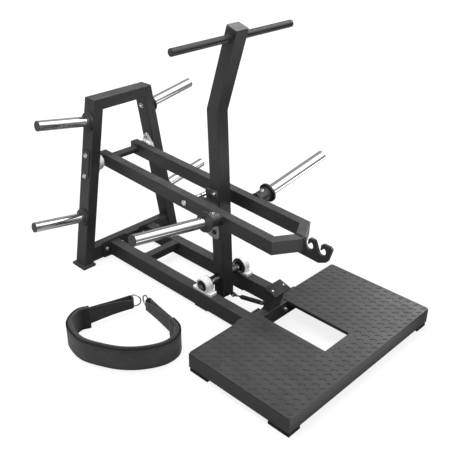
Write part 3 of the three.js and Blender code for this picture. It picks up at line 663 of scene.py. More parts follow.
# The studs are darker than the plate: painted shade for their shaded sides.
SHADED_DECK_STUD = BakedCoat(
    "worn deck stud", "deck_coat", grey(0.0235, -0.01), 0.5, rubbed=grey(0.05), dusty=grey(0.04),
    grain=600.0, wear=0.5, dust=0.1, gloss=0.35)
# The hook's light edge colour paints highlights along its top edges, on top of rubbing.
HOOK_COAT = BakedCoat(
    "hook coat", "dark_steel", grey(0.022), 0.34, rubbed=grey(0.32), dusty=grey(0.06), wear=1.0, dust=0.0)
BLACK_STEEL = BakedCoat(
    "black satin steel", "dark_steel", grey(0.016), 0.42, rubbed=grey(0.2), dusty=grey(0.06), wear=0.9,
    dust=0.1, gloss=0.4)
CHROME = BareMetal(
    "sleeve chrome", "sleeve_chrome", grey(0.88), 0.1, haze=grey(0.8), lines=Across.LENGTHWISE,
    depth=0.000005)
RING_CHROME = BareMetal("ring chrome", "sleeve_chrome", grey(0.42), 0.2, haze=grey(0.3), depth=0.00001)
ZINC = BareMetal("zinc plated steel", "bright_steel", grey(0.74, 0.01), 0.17, haze=grey(0.55), depth=0.00002)
CATCH_STEEL = BareMetal(
    "bare catch steel", "bright_steel", grey(0.34, 0.01), 0.36, haze=grey(0.22), lines=Across.ROUND,
    depth=0.00006)
SHAFT_STEEL = BareMetal("oiled shaft steel", "dark_steel", grey(0.12), 0.3, haze=grey(0.07), depth=0.00004)
HOUSING = CastCoat("bearing housing paint", "bearing_housing", grey(0.84, 0.005), 0.34)
RUBBER = Moulded("black rubber", "rubber", grey(0.014), 0.68)
END_PLASTIC = Moulded("sleeve cap plastic", "plastic_cap", grey(0.07), 0.5)
CAP_PLASTIC = Moulded("post cap plastic", "plastic_cap", grey(0.1), 0.5, dusty=grey(0.14))
BAND_WEBBING = WovenBand("belt webbing", "belt_fabric", grey(0.09, -0.01), 0.82, threads=420.0)
STRAP_WEBBING = WovenBand("strap webbing", "belt_fabric", grey(0.048, -0.01), 0.8, threads=520.0)
PAD_COVER = WovenBand("pad cover", "belt_fabric", grey(0.028, -0.01), 0.85, threads=900.0, depth=0.0003)
THREAD = WovenBand("sewing thread", "belt_fabric", grey(0.07), 0.75, threads=2200.0, depth=0.0001)
# Near black, far darker than the band: painted shade of the seam line along the band's top.
SHADE_PIPING = WovenBand(
    "band edge piping", "belt_fabric", grey(0.009), 0.8, threads=1600.0, depth=0.0002, sheen=0.0)


# Mesh making


@dataclass(frozen=True)
class Hexagon:
    """A hexagon bolt head or nut: its width across the flats, its height and its washer's radius."""

    across: float
    tall: float
    washer: float
    washer_thick: float = 0.0016


HORN_BOLT = Hexagon(0.019, 0.0075, 0.014)
BEARING_BOLT = Hexagon(0.017, 0.0065, 0.012)
BEARING_NUT = Hexagon(0.018, 0.007, 0.0125)
SHIM_BOLT = Hexagon(0.013, 0.004, 0.010)
FLANGE_BOLT = Hexagon(0.018, 0.0075, 0.013)
FLANGE_NUT = Hexagon(0.018, 0.009, 0.013)
STUB_BOLT = Hexagon(0.017, 0.0065, 0.011)
CATCH_BOLT = Hexagon(0.017, 0.0065, 0.0125)


def facing(place: Vector, heading: Vector, upward: Vector = UP) -> Matrix:
    """Gives a frame whose Z axis points along a heading.

    Args:
        place: The frame's origin.
        heading: Where its Z axis points.
        upward: The direction that its Y axis leans to.

    Returns:
        The frame as a matrix.
    """
    along = heading.normalized()
    aside = upward.cross(along)
    if aside.length < 1e-6:
        aside = FORWARD.cross(along)
    aside.normalize()
    turn = Matrix((aside, along.cross(aside), along)).transposed().to_4x4()
    return Matrix.Translation(place) @ turn


def filleted(points: Sequence[Point], radius: float, steps: int = 3, closed: bool = False) -> Outline:
    """Rounds the corners of a line.

    Args:
        points: The line's corners.
        radius: How far from a corner its rounding starts.
        steps: How many short lines make a rounding.
        closed: Whether the line closes on itself.

    Returns:
        The rounded line.
    """
    corners = [Vector(point) for point in points]
    rounded: Outline = []
    for at, corner in enumerate(corners):
        if not closed and at in (0, len(corners) - 1):
            rounded.append(tuple(corner))
            continue
        before, after = corners[at - 1] - corner, corners[(at + 1) % len(corners)] - corner
        reach = min(radius, 0.45 * before.length, 0.45 * after.length)
        start, end = corner + before.normalized() * reach, corner + after.normalized() * reach
        for step in range(steps + 1):
            share = step / steps
            near, far = start.lerp(corner, share), corner.lerp(end, share)
            rounded.append(tuple(near.lerp(far, share)))
    return rounded


def rectangle(width: float, height: float, corner: float, steps: int = 4) -> Outline:
    """Gives a rectangle's outline about the origin, with round corners."""
    half, tall = width / 2, height / 2
    return filleted([(half, -tall), (half, tall), (-half, tall), (-half, -tall)], corner, steps, closed=True)


def arc(middle: Point, wide: float, tall: float, low: float, high: float, steps: int) -> Outline:
    """Gives an arc of a circle or an oval.

    Args:
        middle: Its middle.
        wide: Its radius along X.
        tall: Its radius along Y.
        low: The angle that it starts at.
        high: The angle that it ends at.
        steps: How many short lines it has.

    Returns:
        Its points, with both ends among them.
    """
    turns = [low + (high - low) * step / steps for step in range(steps + 1)]
    return [(middle[0] + wide * math.cos(turn), middle[1] + tall * math.sin(turn)) for turn in turns]


def oval(middle: Point, wide: float, tall: float, sides: int) -> Outline:
    """Gives an oval's outline."""
    return arc(middle, wide, tall, 0.0, 2 * math.pi, sides)[:-1]


def circle(radius: float, sides: int = 48) -> Outline:
    """Gives a circle's outline about the origin."""
    return oval((0.0, 0.0), radius, radius, sides)


def travelled(path: Sequence[Vector]) -> list[float]:
    """Gives the way from a path's start to each of its points.

    Args:
        path: The path's points.

    Returns:
        One length for each point.
    """
    ways = [0.0]
    for before, after in zip(path, path[1:]):
        ways.append(ways[-1] + (after - before).length)
    return ways


def evenly(path: Sequence[Vector], step: float) -> list[Vector]:
    """Spaces points evenly along a broken line.

    Args:
        path: The line's corners.
        step: The wanted spacing.

    Returns:
        The points, with the line's ends among them.
    """
    ways = travelled(path)
    count = max(2, round(ways[-1] / step))
    spots, leg = [], 0
    for at in range(count + 1):
        way = ways[-1] * at / count
        while leg < len(path) - 2 and ways[leg + 1] < way:
            leg += 1
        share = (way - ways[leg]) / max(ways[leg + 1] - ways[leg], 1e-9)
        spots.append(path[leg].lerp(path[leg + 1], share))
    return spots


class Solid:
    """A mesh that grows form by form in the machine's frame and ends as one piece."""

    def __init__(self) -> None:
        """Starts with nothing."""
        self.mesh = bmesh.new()

    def lathe(self, profile: Sequence[Point], place: Matrix, fillet: float = 0.0, sides: int = 56) -> "Solid":
        """Turns a profile about the frame's Z axis.

        Args:
            profile: Radius and height of each corner, from one end to the other.
            place: The frame.
            fillet: The rounding of the profile's corners.
            sides: How many flats go round.

        Returns:
            The solid itself.
        """
        rings = []
        for radius, height in filleted(profile, fillet) if fillet else profile:
            spots = circle(radius, sides) if radius > 1e-6 else [(0.0, 0.0)]
            rings.append([self.mesh.verts.new(place @ Vector((x, y, height))) for x, y in spots])
        for lower, upper in zip(rings, rings[1:]):
            self.bridge(lower, upper)
        return self

    def bridge(self, lower: list[bmesh.types.BMVert], upper: list[bmesh.types.BMVert]) -> None:
        """Joins two rings, of which one may be a single point.

        Args:
            lower: The first ring.
            upper: The second ring.
        """
        count = max(len(lower), len(upper))
        if count == 1:
            return
        for at in range(count):
            beside = (at + 1) % count
            ends = (lower[at % len(lower)], lower[beside % len(lower)], upper[beside % len(upper)],
                    upper[at % len(upper)])
            self.mesh.faces.new(list(dict.fromkeys(ends)))

    def prism(self, outline: Outline, low: float, high: float, place: Matrix) -> "Solid":
        """Raises an outline along the frame's Z axis.

        Args:
            outline: The outline in the frame's XY plane.
            low: Where it starts.
            high: Where it ends.
            place: The frame.

        Returns:
            The solid itself.
        """
        rings = [[self.mesh.verts.new(place @ Vector((x, y, height))) for x, y in outline]
                 for height in (low, high)]
        self.bridge(*rings)
        for ring in rings:
            self.mesh.faces.new(ring)
        return self

    def skin(self, rows: list[list[Vector]], round_path: bool = False, mapped: bool = False) -> "Solid":
        """Joins rows of points, each a closed loop, into one skin.

        Args:
            rows: The loops in order.
            round_path: Whether the last loop joins the first one.
            mapped: Whether the faces get coordinates in metres along and across the rows.

        Returns:
            The solid itself.
        """
        rings = [[self.mesh.verts.new(spot) for spot in row] for row in rows]
        count, width = len(rings), len(rings[0])
        layer = self.mesh.loops.layers.uv.verify() if mapped else None
        along = travelled([row[0] for row in rows] + [rows[0][0]])
        across = travelled(rows[0] + [rows[0][0]])
        for band, at in product(range(count if round_path else count - 1), range(width)):
            marks = ((band, at), (band, at + 1), (band + 1, at + 1), (band + 1, at))
            face = self.mesh.faces.new([rings[station % count][stop % width] for station, stop in marks])
            if layer is not None:
                for loop, (station, stop) in zip(face.loops, marks):
                    loop[layer].uv = (along[station], across[stop])
        if not round_path:
            for ring in (rings[0], rings[-1]):
                self.mesh.faces.new(ring)
        return self

    def sweep(self, path: Sequence[Vector], radii: float | Sequence[float], sides: int,
              round_path: bool = False) -> "Solid":
        """Runs a round section along a path.

        Args:
            path: The points of the path.
            radii: The section's radius, or one for each point.
            sides: How many flats go round.
            round_path: Whether the path closes on itself.

        Returns:
            The solid itself.
        """
        count = len(path)
        sizes = [radii] * count if isinstance(radii, float) else radii
        rows = []
        aside = None
        for at, (spot, size) in enumerate(zip(path, sizes)):
            before = path[at - 1] if at or round_path else spot
            after = path[(at + 1) % count] if at + 1 < count or round_path else spot
            heading = (after - before).normalized()
            if aside is None:
                aside = heading.orthogonal().normalized()
            aside = (aside - heading * aside.dot(heading)).normalized()
            upright = heading.cross(aside)
            rows.append([spot + aside * (size * x) + upright * (size * y) for x, y in circle(1.0, sides)])
        return self.skin(rows, round_path)

    def bead(self, path: Sequence[Vector], radius: float = WELD, closed: bool = False) -> "Solid":
        """Lays a weld bead of overlapping ripples.

        Args:
            path: The corners of the weld's line.
            radius: The bead's radius.
            closed: Whether the line closes on itself.

        Returns:
            The solid itself.
        """
        spots = evenly([*path, path[0]] if closed else path, BEAD_STEP)
        spots = spots[:-1] if closed else spots
        radii = [radius * (0.9 + 0.16 * math.sin(2.1 * at) + 0.1 * noise.noise(spot * 90))
                 for at, spot in enumerate(spots)]
        if not closed:
            radii[0] = radii[-1] = radius * 0.4
        return self.sweep(spots, radii, 8, closed)

    def weld(self, outline: Outline, place: Matrix, radius: float = WELD) -> "Solid":
        """Lays a weld bead round an outline in a frame's XY plane."""
        return self.bead([place @ Vector((x, y, 0.0)) for x, y in outline], radius, True)

    def bolt(self, place: Vector, heading: Vector, head: Hexagon) -> "Solid":
        """Adds a hexagon bolt head or nut on its washer.

        Args:
            place: Where its axis meets the surface.
            heading: The way it faces.
            head: Its sizes.

        Returns:
            The solid itself.
        """
        spot = facing(place, heading)
        inside, thick, top = head.across * 0.3, head.washer_thick, head.tall + head.washer_thick
        rim = [(inside, 0), (head.washer, 0), (head.washer, thick), (inside, thick)]
        self.lathe(filleted(rim, 0.0004, 2), spot, sides=28)
        corner = head.across / math.sqrt(3)
        flats = [(0.0, top), (corner * 0.78, top), (corner * 0.97, top - 0.001), (corner, top - 0.0021),
                 (corner, thick + 0.0001)]
        return self.lathe(flats, spot @ Matrix.Rotation(0.35, 4, "Z"), sides=6)

    def piece(self, name: str, finish: Finish, body: str, node: str = "",
              bevel: float = 0.0) -> bpy.types.Object:
        """Ends the solid as a piece of the scene.

        Args:
            name: The piece's name.
            finish: What it is finished with.
            body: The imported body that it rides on.
            node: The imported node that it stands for, if any.
            bevel: The rounding of its sharp edges, 0 for none.

        Returns:
            The piece.
        """
        bmesh.ops.recalc_face_normals(self.mesh, faces=self.mesh.faces)
        data = bpy.data.meshes.new(name)
        self.mesh.to_mesh(data)
        self.mesh.free()
        data.materials.append(finish.material())
        made = bpy.data.objects.new(name, data)
        bpy.context.scene.collection.objects.link(made)
        soften(made, bevel)
        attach(made, body)
        if node:
            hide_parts(node)
        log.info("%s: %d faces, rides on %s", name, len(data.polygons), body)
        return made


def soften(piece: bpy.types.Object, bevel: float) -> None:
    """Shades a piece smoothly and rounds its sharp edges.

    Args:
        piece: The piece.
        bevel: The rounding's width, 0 for none.
    """
    piece.data.polygons.foreach_set("use_smooth", [True] * len(piece.data.polygons))
    if bevel:
        edge = piece.modifiers.new("rounded edges", "BEVEL")
        edge.width = bevel
        edge.segments = 2
        edge.limit_method = "ANGLE"
        edge.angle_limit = SHARP
        edge.use_clamp_overlap = True
    even = piece.modifiers.new("even shading", "WEIGHTED_NORMAL")
    even.mode = "FACE_AREA"
    even.weight = 80
    even.keep_sharp = True


def dress(finish: Finish, *nodes: str, bevel: float = 0.0012) -> None:
    """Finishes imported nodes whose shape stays.

    Args:
        finish: What they are finished with.
        *nodes: The nodes' names.
        bevel: The rounding of their edges.
    """
    for node in nodes:
        solid = frame["nodes"][node]
        solid.data.materials.clear()
        solid.data.materials.append(finish.material())
        split = solid.data.attributes.get("custom_normal")
        if split is not None:
            solid.data.attributes.remove(split)
        solid.modifiers.new("one skin", "WELD").merge_threshold = 0.00001
        flats = solid.modifiers.new("whole flats", "DECIMATE")
        flats.decimate_type = "DISSOLVE"
        flats.angle_limit = math.radians(1)
        soften(solid, bevel)
        log.info("%s: packed node in %s", node, finish.name)


# Sub-assemblies


@dataclass
class SubAssembly:
    """What every sub-assembly has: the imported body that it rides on."""

    body: str = "frame"

    def build(self) -> None:
        """Builds the sub-assembly."""
        raise NotImplementedError

    def turned(self, name: str, finish: Finish, node: str, place: Matrix, profile: Sequence[Point],
               fillet: float = 0.0, sides: int = 56) -> None:
        """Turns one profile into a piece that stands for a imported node."""
        Solid().lathe(profile, place, fillet, sides).piece(name, finish, self.body, node)


@dataclass(frozen=True)
class LeaningFace:
    """The outer and inner face of a leaning upright on one side, at a height above the floor."""

    side: Side
    foot_half: float = 0.3315
    foot_thick: float = 0.012
    top_half: float = 0.1795
    top: float = 0.890
    tube: float = 0.057

    @property
    def lean(self) -> float:
        """How far the upright leans inward."""
        return math.atan2(self.foot_half - self.top_half, self.top - self.foot_thick)

    def outward(self) -> Vector:
        """The direction that the upright's outer face looks in."""
        return Vector((0, self.side.value * math.cos(self.lean), math.sin(self.lean)))

    def climb(self) -> Vector:
        """The direction that the upright climbs in."""
        return Vector((0, -self.side.value * math.sin(self.lean), math.cos(self.lean)))

    def outer(self, height: float) -> Vector:
        """Gives the middle of the outer face.

        Args:
            height: The height above the floor.

        Returns:
            The place.
        """
        half = self.foot_half - (height - self.foot_thick) * math.tan(self.lean)
        pivot = centre("lever_pivot_tube")
        return Vector((pivot.x, pivot.y + self.side.value * half, height))

    def inner(self, height: float) -> Vector:
        """Gives the middle of the inner face at a height."""
        return self.outer(height) - self.side.out * (self.tube / math.cos(self.lean))


@dataclass
class RearFrame(SubAssembly):
    """The A-shaped frame with its storage horns."""

    heights: tuple[tuple[str, float], ...] = (("upper", 0.779), ("lower", 0.277))
    sleeve: float = 0.025
    length: float = 0.290
    collar: float = 0.045
    collar_thick: float = 0.010
    step: float = 0.034
    step_thick: float = 0.006
    cap_barrel: float = 0.0022
    bar_height: float = 0.0535
    foot_weld: tuple[float, ...] = (0.082, 0.0585, 0.004)
    bar_weld: tuple[float, ...] = (0.058, 0.083, 0.005)

    def build(self) -> None:
        """Dresses the frame and builds its horns, bolts and welds."""
        dress(CHARCOAL, "top_bar", "rear_crossbar", *both("upright", "foot_plate"))
        for side, (level, height) in product(Side, self.heights):
            self.horn(side, level, height)
        self.welds()

    def horn(self, side: Side, level: str, height: float) -> None:
        """Builds one storage horn: collar, chrome sleeve, cap and the bolt that holds it.

        Args:
            side: The side that it stands on.
            level: Its name, upper or lower.
            height: Its height above the floor.
        """
        node = f"{side.word}_{level}_storage_horn"
        face = LeaningFace(side)
        place = facing(face.outer(height) + side.out * GAP, face.outward())
        inside, rim = self.sleeve - 0.002, self.sleeve + 0.0002
        base, end = self.collar_thick, self.length - self.cap_barrel
        top = base + self.step_thick
        self.turned(f"{node}_collar", CHARCOAL, node, place, [
            (inside, 0), (self.collar, 0), (self.collar, base), (self.step, base), (self.step, top),
            (inside, top)], 0.0012)
        self.turned(f"{node}_sleeve", CHROME, node, place, [
            (self.sleeve, base), (self.sleeve, end), (self.sleeve - 0.004, end)], 0.0008)
        self.turned(f"{node}_cap", END_PLASTIC, node, place, [
            (self.sleeve - 0.005, end + 0.0004), (rim, end + 0.0004), (rim, self.length - 0.002),
            (self.sleeve - 0.003, self.length), (0, self.length)], 0.0016)
        Solid().bolt(face.inner(height), -face.outward(), HORN_BOLT).piece(f"{node}_bolt", ZINC, self.body)

    def welds(self) -> None:
        """Lays the beads round the frame's joints."""
        beads = Solid()
        for side in Side:
            face = LeaningFace(side)
            foot = face.outer(face.foot_thick).lerp(face.inner(face.foot_thick), 0.5)
            beads.weld(rectangle(*self.foot_weld), Matrix.Translation(foot))
            bar = face.inner(self.bar_height)
            bar.x = centre("rear_crossbar").x
            beads.weld(rectangle(*self.bar_weld), facing(bar, -face.outward()))
        beads.piece("rear_frame_welds", CHARCOAL, self.body)


@dataclass
class ArmBearings(SubAssembly):
    """The flange bearings that carry the lever, and the backing plates outside them."""

    radius: float = 0.041
    depth: float = 0.033
    lug: float = 0.016
    reach: float = 0.054
    flange: float = 0.013
    shaft: float = 0.0125
    plate: float = 0.0043

    def build(self) -> None:
        """Builds both bearings."""
        dress(CHARCOAL, *both("bearing_backing_plate"), bevel=0.0008)
        for side in Side:
            self.bearing(side)

    def outline(self) -> Outline:
        """Draws the flange: a round middle with a lug above and below.

        Returns:
            Its outline.
        """
        tangent = math.acos((self.radius - self.lug) / self.reach)
        drawn: Outline = []
        for way, turn in ((1, QUARTER), (-1, 3 * QUARTER)):
            lug, end = self.lug, turn + 2 * QUARTER - tangent
            drawn += arc((0.0, way * self.reach), lug, lug, turn - tangent, turn + tangent, 14)
            drawn += arc((0.0, 0.0), self.radius, self.radius, turn + tangent, end, 14)
        return drawn

    def bearing(self, side: Side) -> None:
        """Builds one bearing with its insert and its bolts.

        Args:
            side: The side that it stands on.
        """
        node = f"{side.word}_arm_bearing"
        face, height = LeaningFace(side), centre("lever_pivot_tube").z
        out, climb = face.outward(), face.climb()
        seat = face.inner(height) - side.out * GAP
        place = facing(seat, -out, climb)
        rim, bore, deep = self.radius, self.shaft, self.depth
        housing = Solid().prism(self.outline(), 0.0, self.flange, place)
        housing.lathe([
            (rim - 0.002, self.flange - 0.002), (rim - 0.003, deep - 0.004), (rim - 0.008, deep),
            (bore + 0.014, deep), (bore + 0.013, deep - 0.006), (bore + 0.001, deep - 0.006)], place, 0.002)
        housing.piece(f"{node}_housing", HOUSING, self.body, node, 0.0014)
        self.turned(f"{node}_insert", SHAFT_STEEL, node, place, [
            (bore + 0.012, deep - 0.007), (bore + 0.012, deep - 0.003), (bore + 0.005, deep - 0.003),
            (bore + 0.005, deep - 0.0005), (bore + 0.0005, deep - 0.0005), (bore + 0.0005, deep - 0.007)],
            0.0006)
        bolts = Solid()
        for away in (climb * self.reach, climb * -self.reach):
            bolts.bolt(seat + away - out * self.flange, -out, BEARING_BOLT)
            bolts.bolt(face.outer(height) + away + out * self.plate, out, BEARING_NUT)
        bolts.piece(f"{node}_bolts", ZINC, self.body)


@dataclass
class FloorFrame(SubAssembly):
    """The rails, their flanges and the pillow blocks that carry the post."""

    rail_half: float = 0.127
    bolt_aside: float = 0.049
    bolt_seats: tuple[tuple[str, int, float, Hexagon], ...] = (
        ("left_rear_flange", 1, 0.060, FLANGE_BOLT), ("rear_crossbar", -1, 0.060, FLANGE_NUT),
        ("left_front_flange", -1, 0.055, FLANGE_BOLT), ("rear_deck_beam", 1, 0.055, FLANGE_NUT))
    block_length: float = 0.124
    block_width: float = 0.044
    block_foot: float = 0.015
    block_radius: float = 0.042
    shaft: float = 0.0125
    recess: float = 0.0285
    shim: tuple[float, float] = (0.0076, 0.0128)
    shim_size: tuple[float, ...] = (0.085, 0.056, 0.004)
    shim_back: float = 0.002
    shim_bolt: float = 0.030
    rail_weld: tuple[float, ...] = (0.058, 0.082, 0.005)
    member_weld: tuple[float, ...] = (0.045, 0.045, 0.004)

    def build(self) -> None:
        """Dresses the rails and builds the blocks, bolts and welds."""
        dress(CHARCOAL, "cross_member", *both("rail"))
        dress(CHARCOAL, *both("rear_flange", "front_flange"), bevel=0.001)
        for side in Side:
            middle = centre(f"{side.word}_pillow_block")
            self.block(side, Vector((middle.x, middle.y, centre("post_pivot_shaft").z)))
            self.shim_plate(side, Vector((middle.x - self.shim_back, middle.y, 0.0)))
        self.bolts()
        self.welds()

    def block(self, side: Side, axis: Vector) -> None:
        """Builds one pillow block with its insert.

        Args:
            side: The side that it stands on.
            axis: The middle of its bore.
        """
        node = f"{side.word}_pillow_block"
        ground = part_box(node)[0].z
        place, under = facing(axis, -side.out), Matrix.Translation((axis.x, axis.y, 0))
        half, rim, bore = self.block_width / 2, self.block_radius, self.shaft + 0.0006
        recess, web = self.recess, half - 0.004
        housing = Solid().lathe([
            (recess, web), (recess + 0.001, half - 0.001), (rim - 0.006, half), (rim, half - 0.006),
            (rim, 0.006 - half), (rim - 0.006, -half), (recess + 0.001, 0.001 - half), (recess, -web)],
            place, 0.003)
        for face in (web, -web):
            housing.lathe([(recess, face), (bore, face)], place)
        flank, shoulder, foot = rim * 0.96, rim * 0.96 * 0.92, ground + 0.004
        saddle = [(-flank, foot), (flank, foot), (shoulder, axis.z), (-shoulder, axis.z)]
        housing.prism(saddle, 0.003 - half, half - 0.003, under @ Matrix.Rotation(QUARTER, 4, "X"))
        housing.piece(f"{node}_housing", HOUSING, self.body, node, 0.0012)
        sole = rectangle(self.block_length, self.block_width, 0.007)
        base = Solid().prism(sole, ground, ground + self.block_foot, under)
        base.piece(f"{node}_foot", HOUSING, self.body, node, 0.002)
        flipped = place @ Matrix.Scale(-1, 4, UP)
        insert = Solid().lathe([
            (recess - 0.0005, 0.0), (recess - 0.001, half - 0.0015), (self.shaft + 0.005, half - 0.0015),
            (self.shaft + 0.0045, half - 0.003), (bore, half - 0.003)], flipped, 0.0008)
        insert.lathe([
            (rim - 0.0005, half - 0.0062), (rim - 0.0015, half - 0.0015), (rim - 0.005, half + 0.0004),
            (rim - 0.010, half + 0.0004), (rim - 0.012, half - 0.0022), (bore, half - 0.0022)], place, 0.0008)
        insert.piece(f"{node}_insert", BLACK_STEEL, self.body, node)

    def shim_plate(self, side: Side, middle: Vector) -> None:
        """Builds the plate under a rail, where the block is bolted through it.

        Args:
            side: The side that the rail is on.
            middle: The place on the floor below the plate's middle.
        """
        plate = Solid().prism(rectangle(*self.shim_size), *self.shim, Matrix.Translation(middle))
        plate.piece(f"{side.word}_rail_backing_plate", CHARCOAL, self.body, bevel=0.0008)
        heads = Solid()
        for away in (-self.shim_bolt, self.shim_bolt):
            heads.bolt(middle + FORWARD * away + UP * self.shim[0], -UP, SHIM_BOLT)
        heads.piece(f"{side.word}_rail_plate_bolts", ZINC, self.body)

    def bolts(self) -> None:
        """Sets the bolts of the rails' flanges."""
        heads = Solid()
        middle = centre("cross_member").y
        for side, away in product(Side, (-self.bolt_aside, self.bolt_aside)):
            y = middle + side.value * (self.rail_half + away)
            for node, way, height, head in self.bolt_seats:
                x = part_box(node)[way > 0].x
                heads.bolt(Vector((x, y, height)), FORWARD * way, head)
        heads.piece("flange_bolts", ZINC, self.body)

    def welds(self) -> None:
        """Lays the beads round the rails' ends and the cross member."""
        beads = Solid()
        for side in Side:
            low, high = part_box(f"{side.word}_rail")
            middle = (low + high) / 2
            for x in (low.x, high.x):
                beads.weld(rectangle(*self.rail_weld), facing(Vector((x, middle.y, middle.z)), FORWARD))
            spot = centre("cross_member")
            spot.y = low.y if side is Side.LEFT else high.y
            beads.weld(rectangle(*self.member_weld), facing(spot, LEFTWARD), FINE_WELD)
        beads.piece("floor_frame_welds", CHARCOAL, self.body)


@dataclass(frozen=True)
class Lozenge:
    """One raised form of the tread pattern.

    How far ahead of its lattice point and aside of it the form lies, the degrees that it turns
    by, and half its length and half its width.
    """

    ahead: float
    aside: float
    turn: float
    reach: float
    width: float


@dataclass
class StandingDeck(SubAssembly):
    """The deck: beams, patterned tread plate, feet, and the pedestal with its bumper plate."""

    pitch: float = 0.040
    lozenges: tuple[Lozenge, ...] = (
        Lozenge(0.0, 0.0, 45.0, 0.0135, 0.0042), Lozenge(0.0165, 0.0078, -30.0, 0.0065, 0.003))
    rise: float = 0.0014
    crown: tuple[Point, ...] = ((0.93, 0.45), (0.7, 0.88), (0.4, 1), (0, 1))
    margin: float = 0.014
    notch_half: float = 0.0875
    notch_end: float = 0.401
    tilt: float = math.radians(16)
    bumper_half: float = 0.004
    bolt_aside: float = 0.037
    # Thin dark discs under the bumper bolts, standing on the plate as painted shade of recesses.
    cup: tuple[Point, ...] = ((0.0094, 0.0001), (0.0092, 0.0009), (0, 0.0009))
    head: tuple[Point, ...] = (
        (0.005, 0.0008), (0.0047, 0.0026), (0.0022, 0.0032), (0.002, 0.0018), (0, 0.0018))
    pedestal_ahead: float = 0.025
    pedestal_foot: float = 0.094
    pedestal_weld: tuple[float, ...] = (0.0445, 0.079, 0.005)
    corner_inset: float = 0.05
    corner_bead: tuple[float, float] = (0.022, 0.090)

    def build(self) -> None:
        """Dresses the deck and builds its pattern, bolts and welds."""
        dress(DECK_GREY, *(f"{beam}_deck_beam" for beam in ("left", "right", "rear", "front")), bevel=0.001)
        dress(DECK_GREY, "tread_plate", bevel=0.0008)
        dress(RUBBER, "bumper_plate", *both("rear_deck_foot", "front_deck_foot"), bevel=0.0015)
        dress(CHARCOAL, "pedestal")
        self.pattern()
        self.bumper_bolts()
        self.welds()

    def pattern(self) -> None:
        """Raises the tread plate's pairs of lozenges, a long one and a short one, on a square lattice."""
        low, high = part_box("tread_plate")
        ahead, aside = (low.x + high.x) / 2, centre("tread_plate").y
        columns, rows = (round(size / self.pitch) for size in (high.x - low.x, high.y - low.y))
        dome = [(1.0, -0.0004), *((reach, self.rise * share) for reach, share in self.crown)]
        studs = Solid()
        for column, row, form in product(range(columns), range(rows), self.lozenges):
            x = ahead + (column - (columns - 1) / 2) * self.pitch + form.ahead
            y = aside + (row - (rows - 1) / 2) * self.pitch + form.aside
            beside_notch = abs(y - aside) < self.notch_half + self.margin
            in_notch = beside_notch and x < low.x + self.notch_end + self.margin
            if in_notch or min(x - low.x, high.x - x, y - low.y, high.y - y) < self.margin:
                continue
            place = Matrix.Translation((x, y, high.z)) @ Matrix.Rotation(math.radians(form.turn), 4, "Z")
            studs.lathe(dome, place @ Matrix.Diagonal((form.reach, form.width, 1, 1)), sides=12)
        # The lozenges take a darker finish: painted shade for their shaded sides.
        studs.piece("tread_lozenges", SHADED_DECK_STUD, self.body)

    def bumper_bolts(self) -> None:
        """Sets two bolt heads on thin dark discs that stand on the bumper plate as painted shade of recesses.
        """
        heads, shade_discs = Solid(), Solid()
        normal = Vector((math.sin(self.tilt), 0, math.cos(self.tilt)))
        for side in Side:
            spot = centre("bumper_plate") + normal * self.bumper_half + side.out * self.bolt_aside
            place = facing(spot, normal, FORWARD)
            # A thin dark disc on the plate: painted shade of a recess.
            shade_discs.lathe(self.cup, place, 0.0004, 32)
            heads.lathe(self.head, place, 0.0005, 32)
        shade_discs.piece("bumper_bolt_cups", BLACK_STEEL, self.body)
        heads.piece("bumper_bolts", ZINC, self.body)

    def welds(self) -> None:
        """Lays the beads round the pedestal and down the deck frame's corners."""
        beads = Solid()
        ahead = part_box("rear_deck_beam")[0].x + self.pedestal_ahead
        foot = Matrix.Translation((ahead, centre("pedestal").y, self.pedestal_foot))
        beads.weld(rectangle(*self.pedestal_weld), foot, FINE_WELD)
        low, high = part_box("tread_plate")
        inset = self.corner_inset
        for x, y in product((low.x + inset, high.x - inset), (low.y + inset, high.y - inset)):
            beads.bead([Vector((x, y, z)) for z in self.corner_bead], 0.002)
        beads.piece("deck_welds", DECK_GREY, self.body)


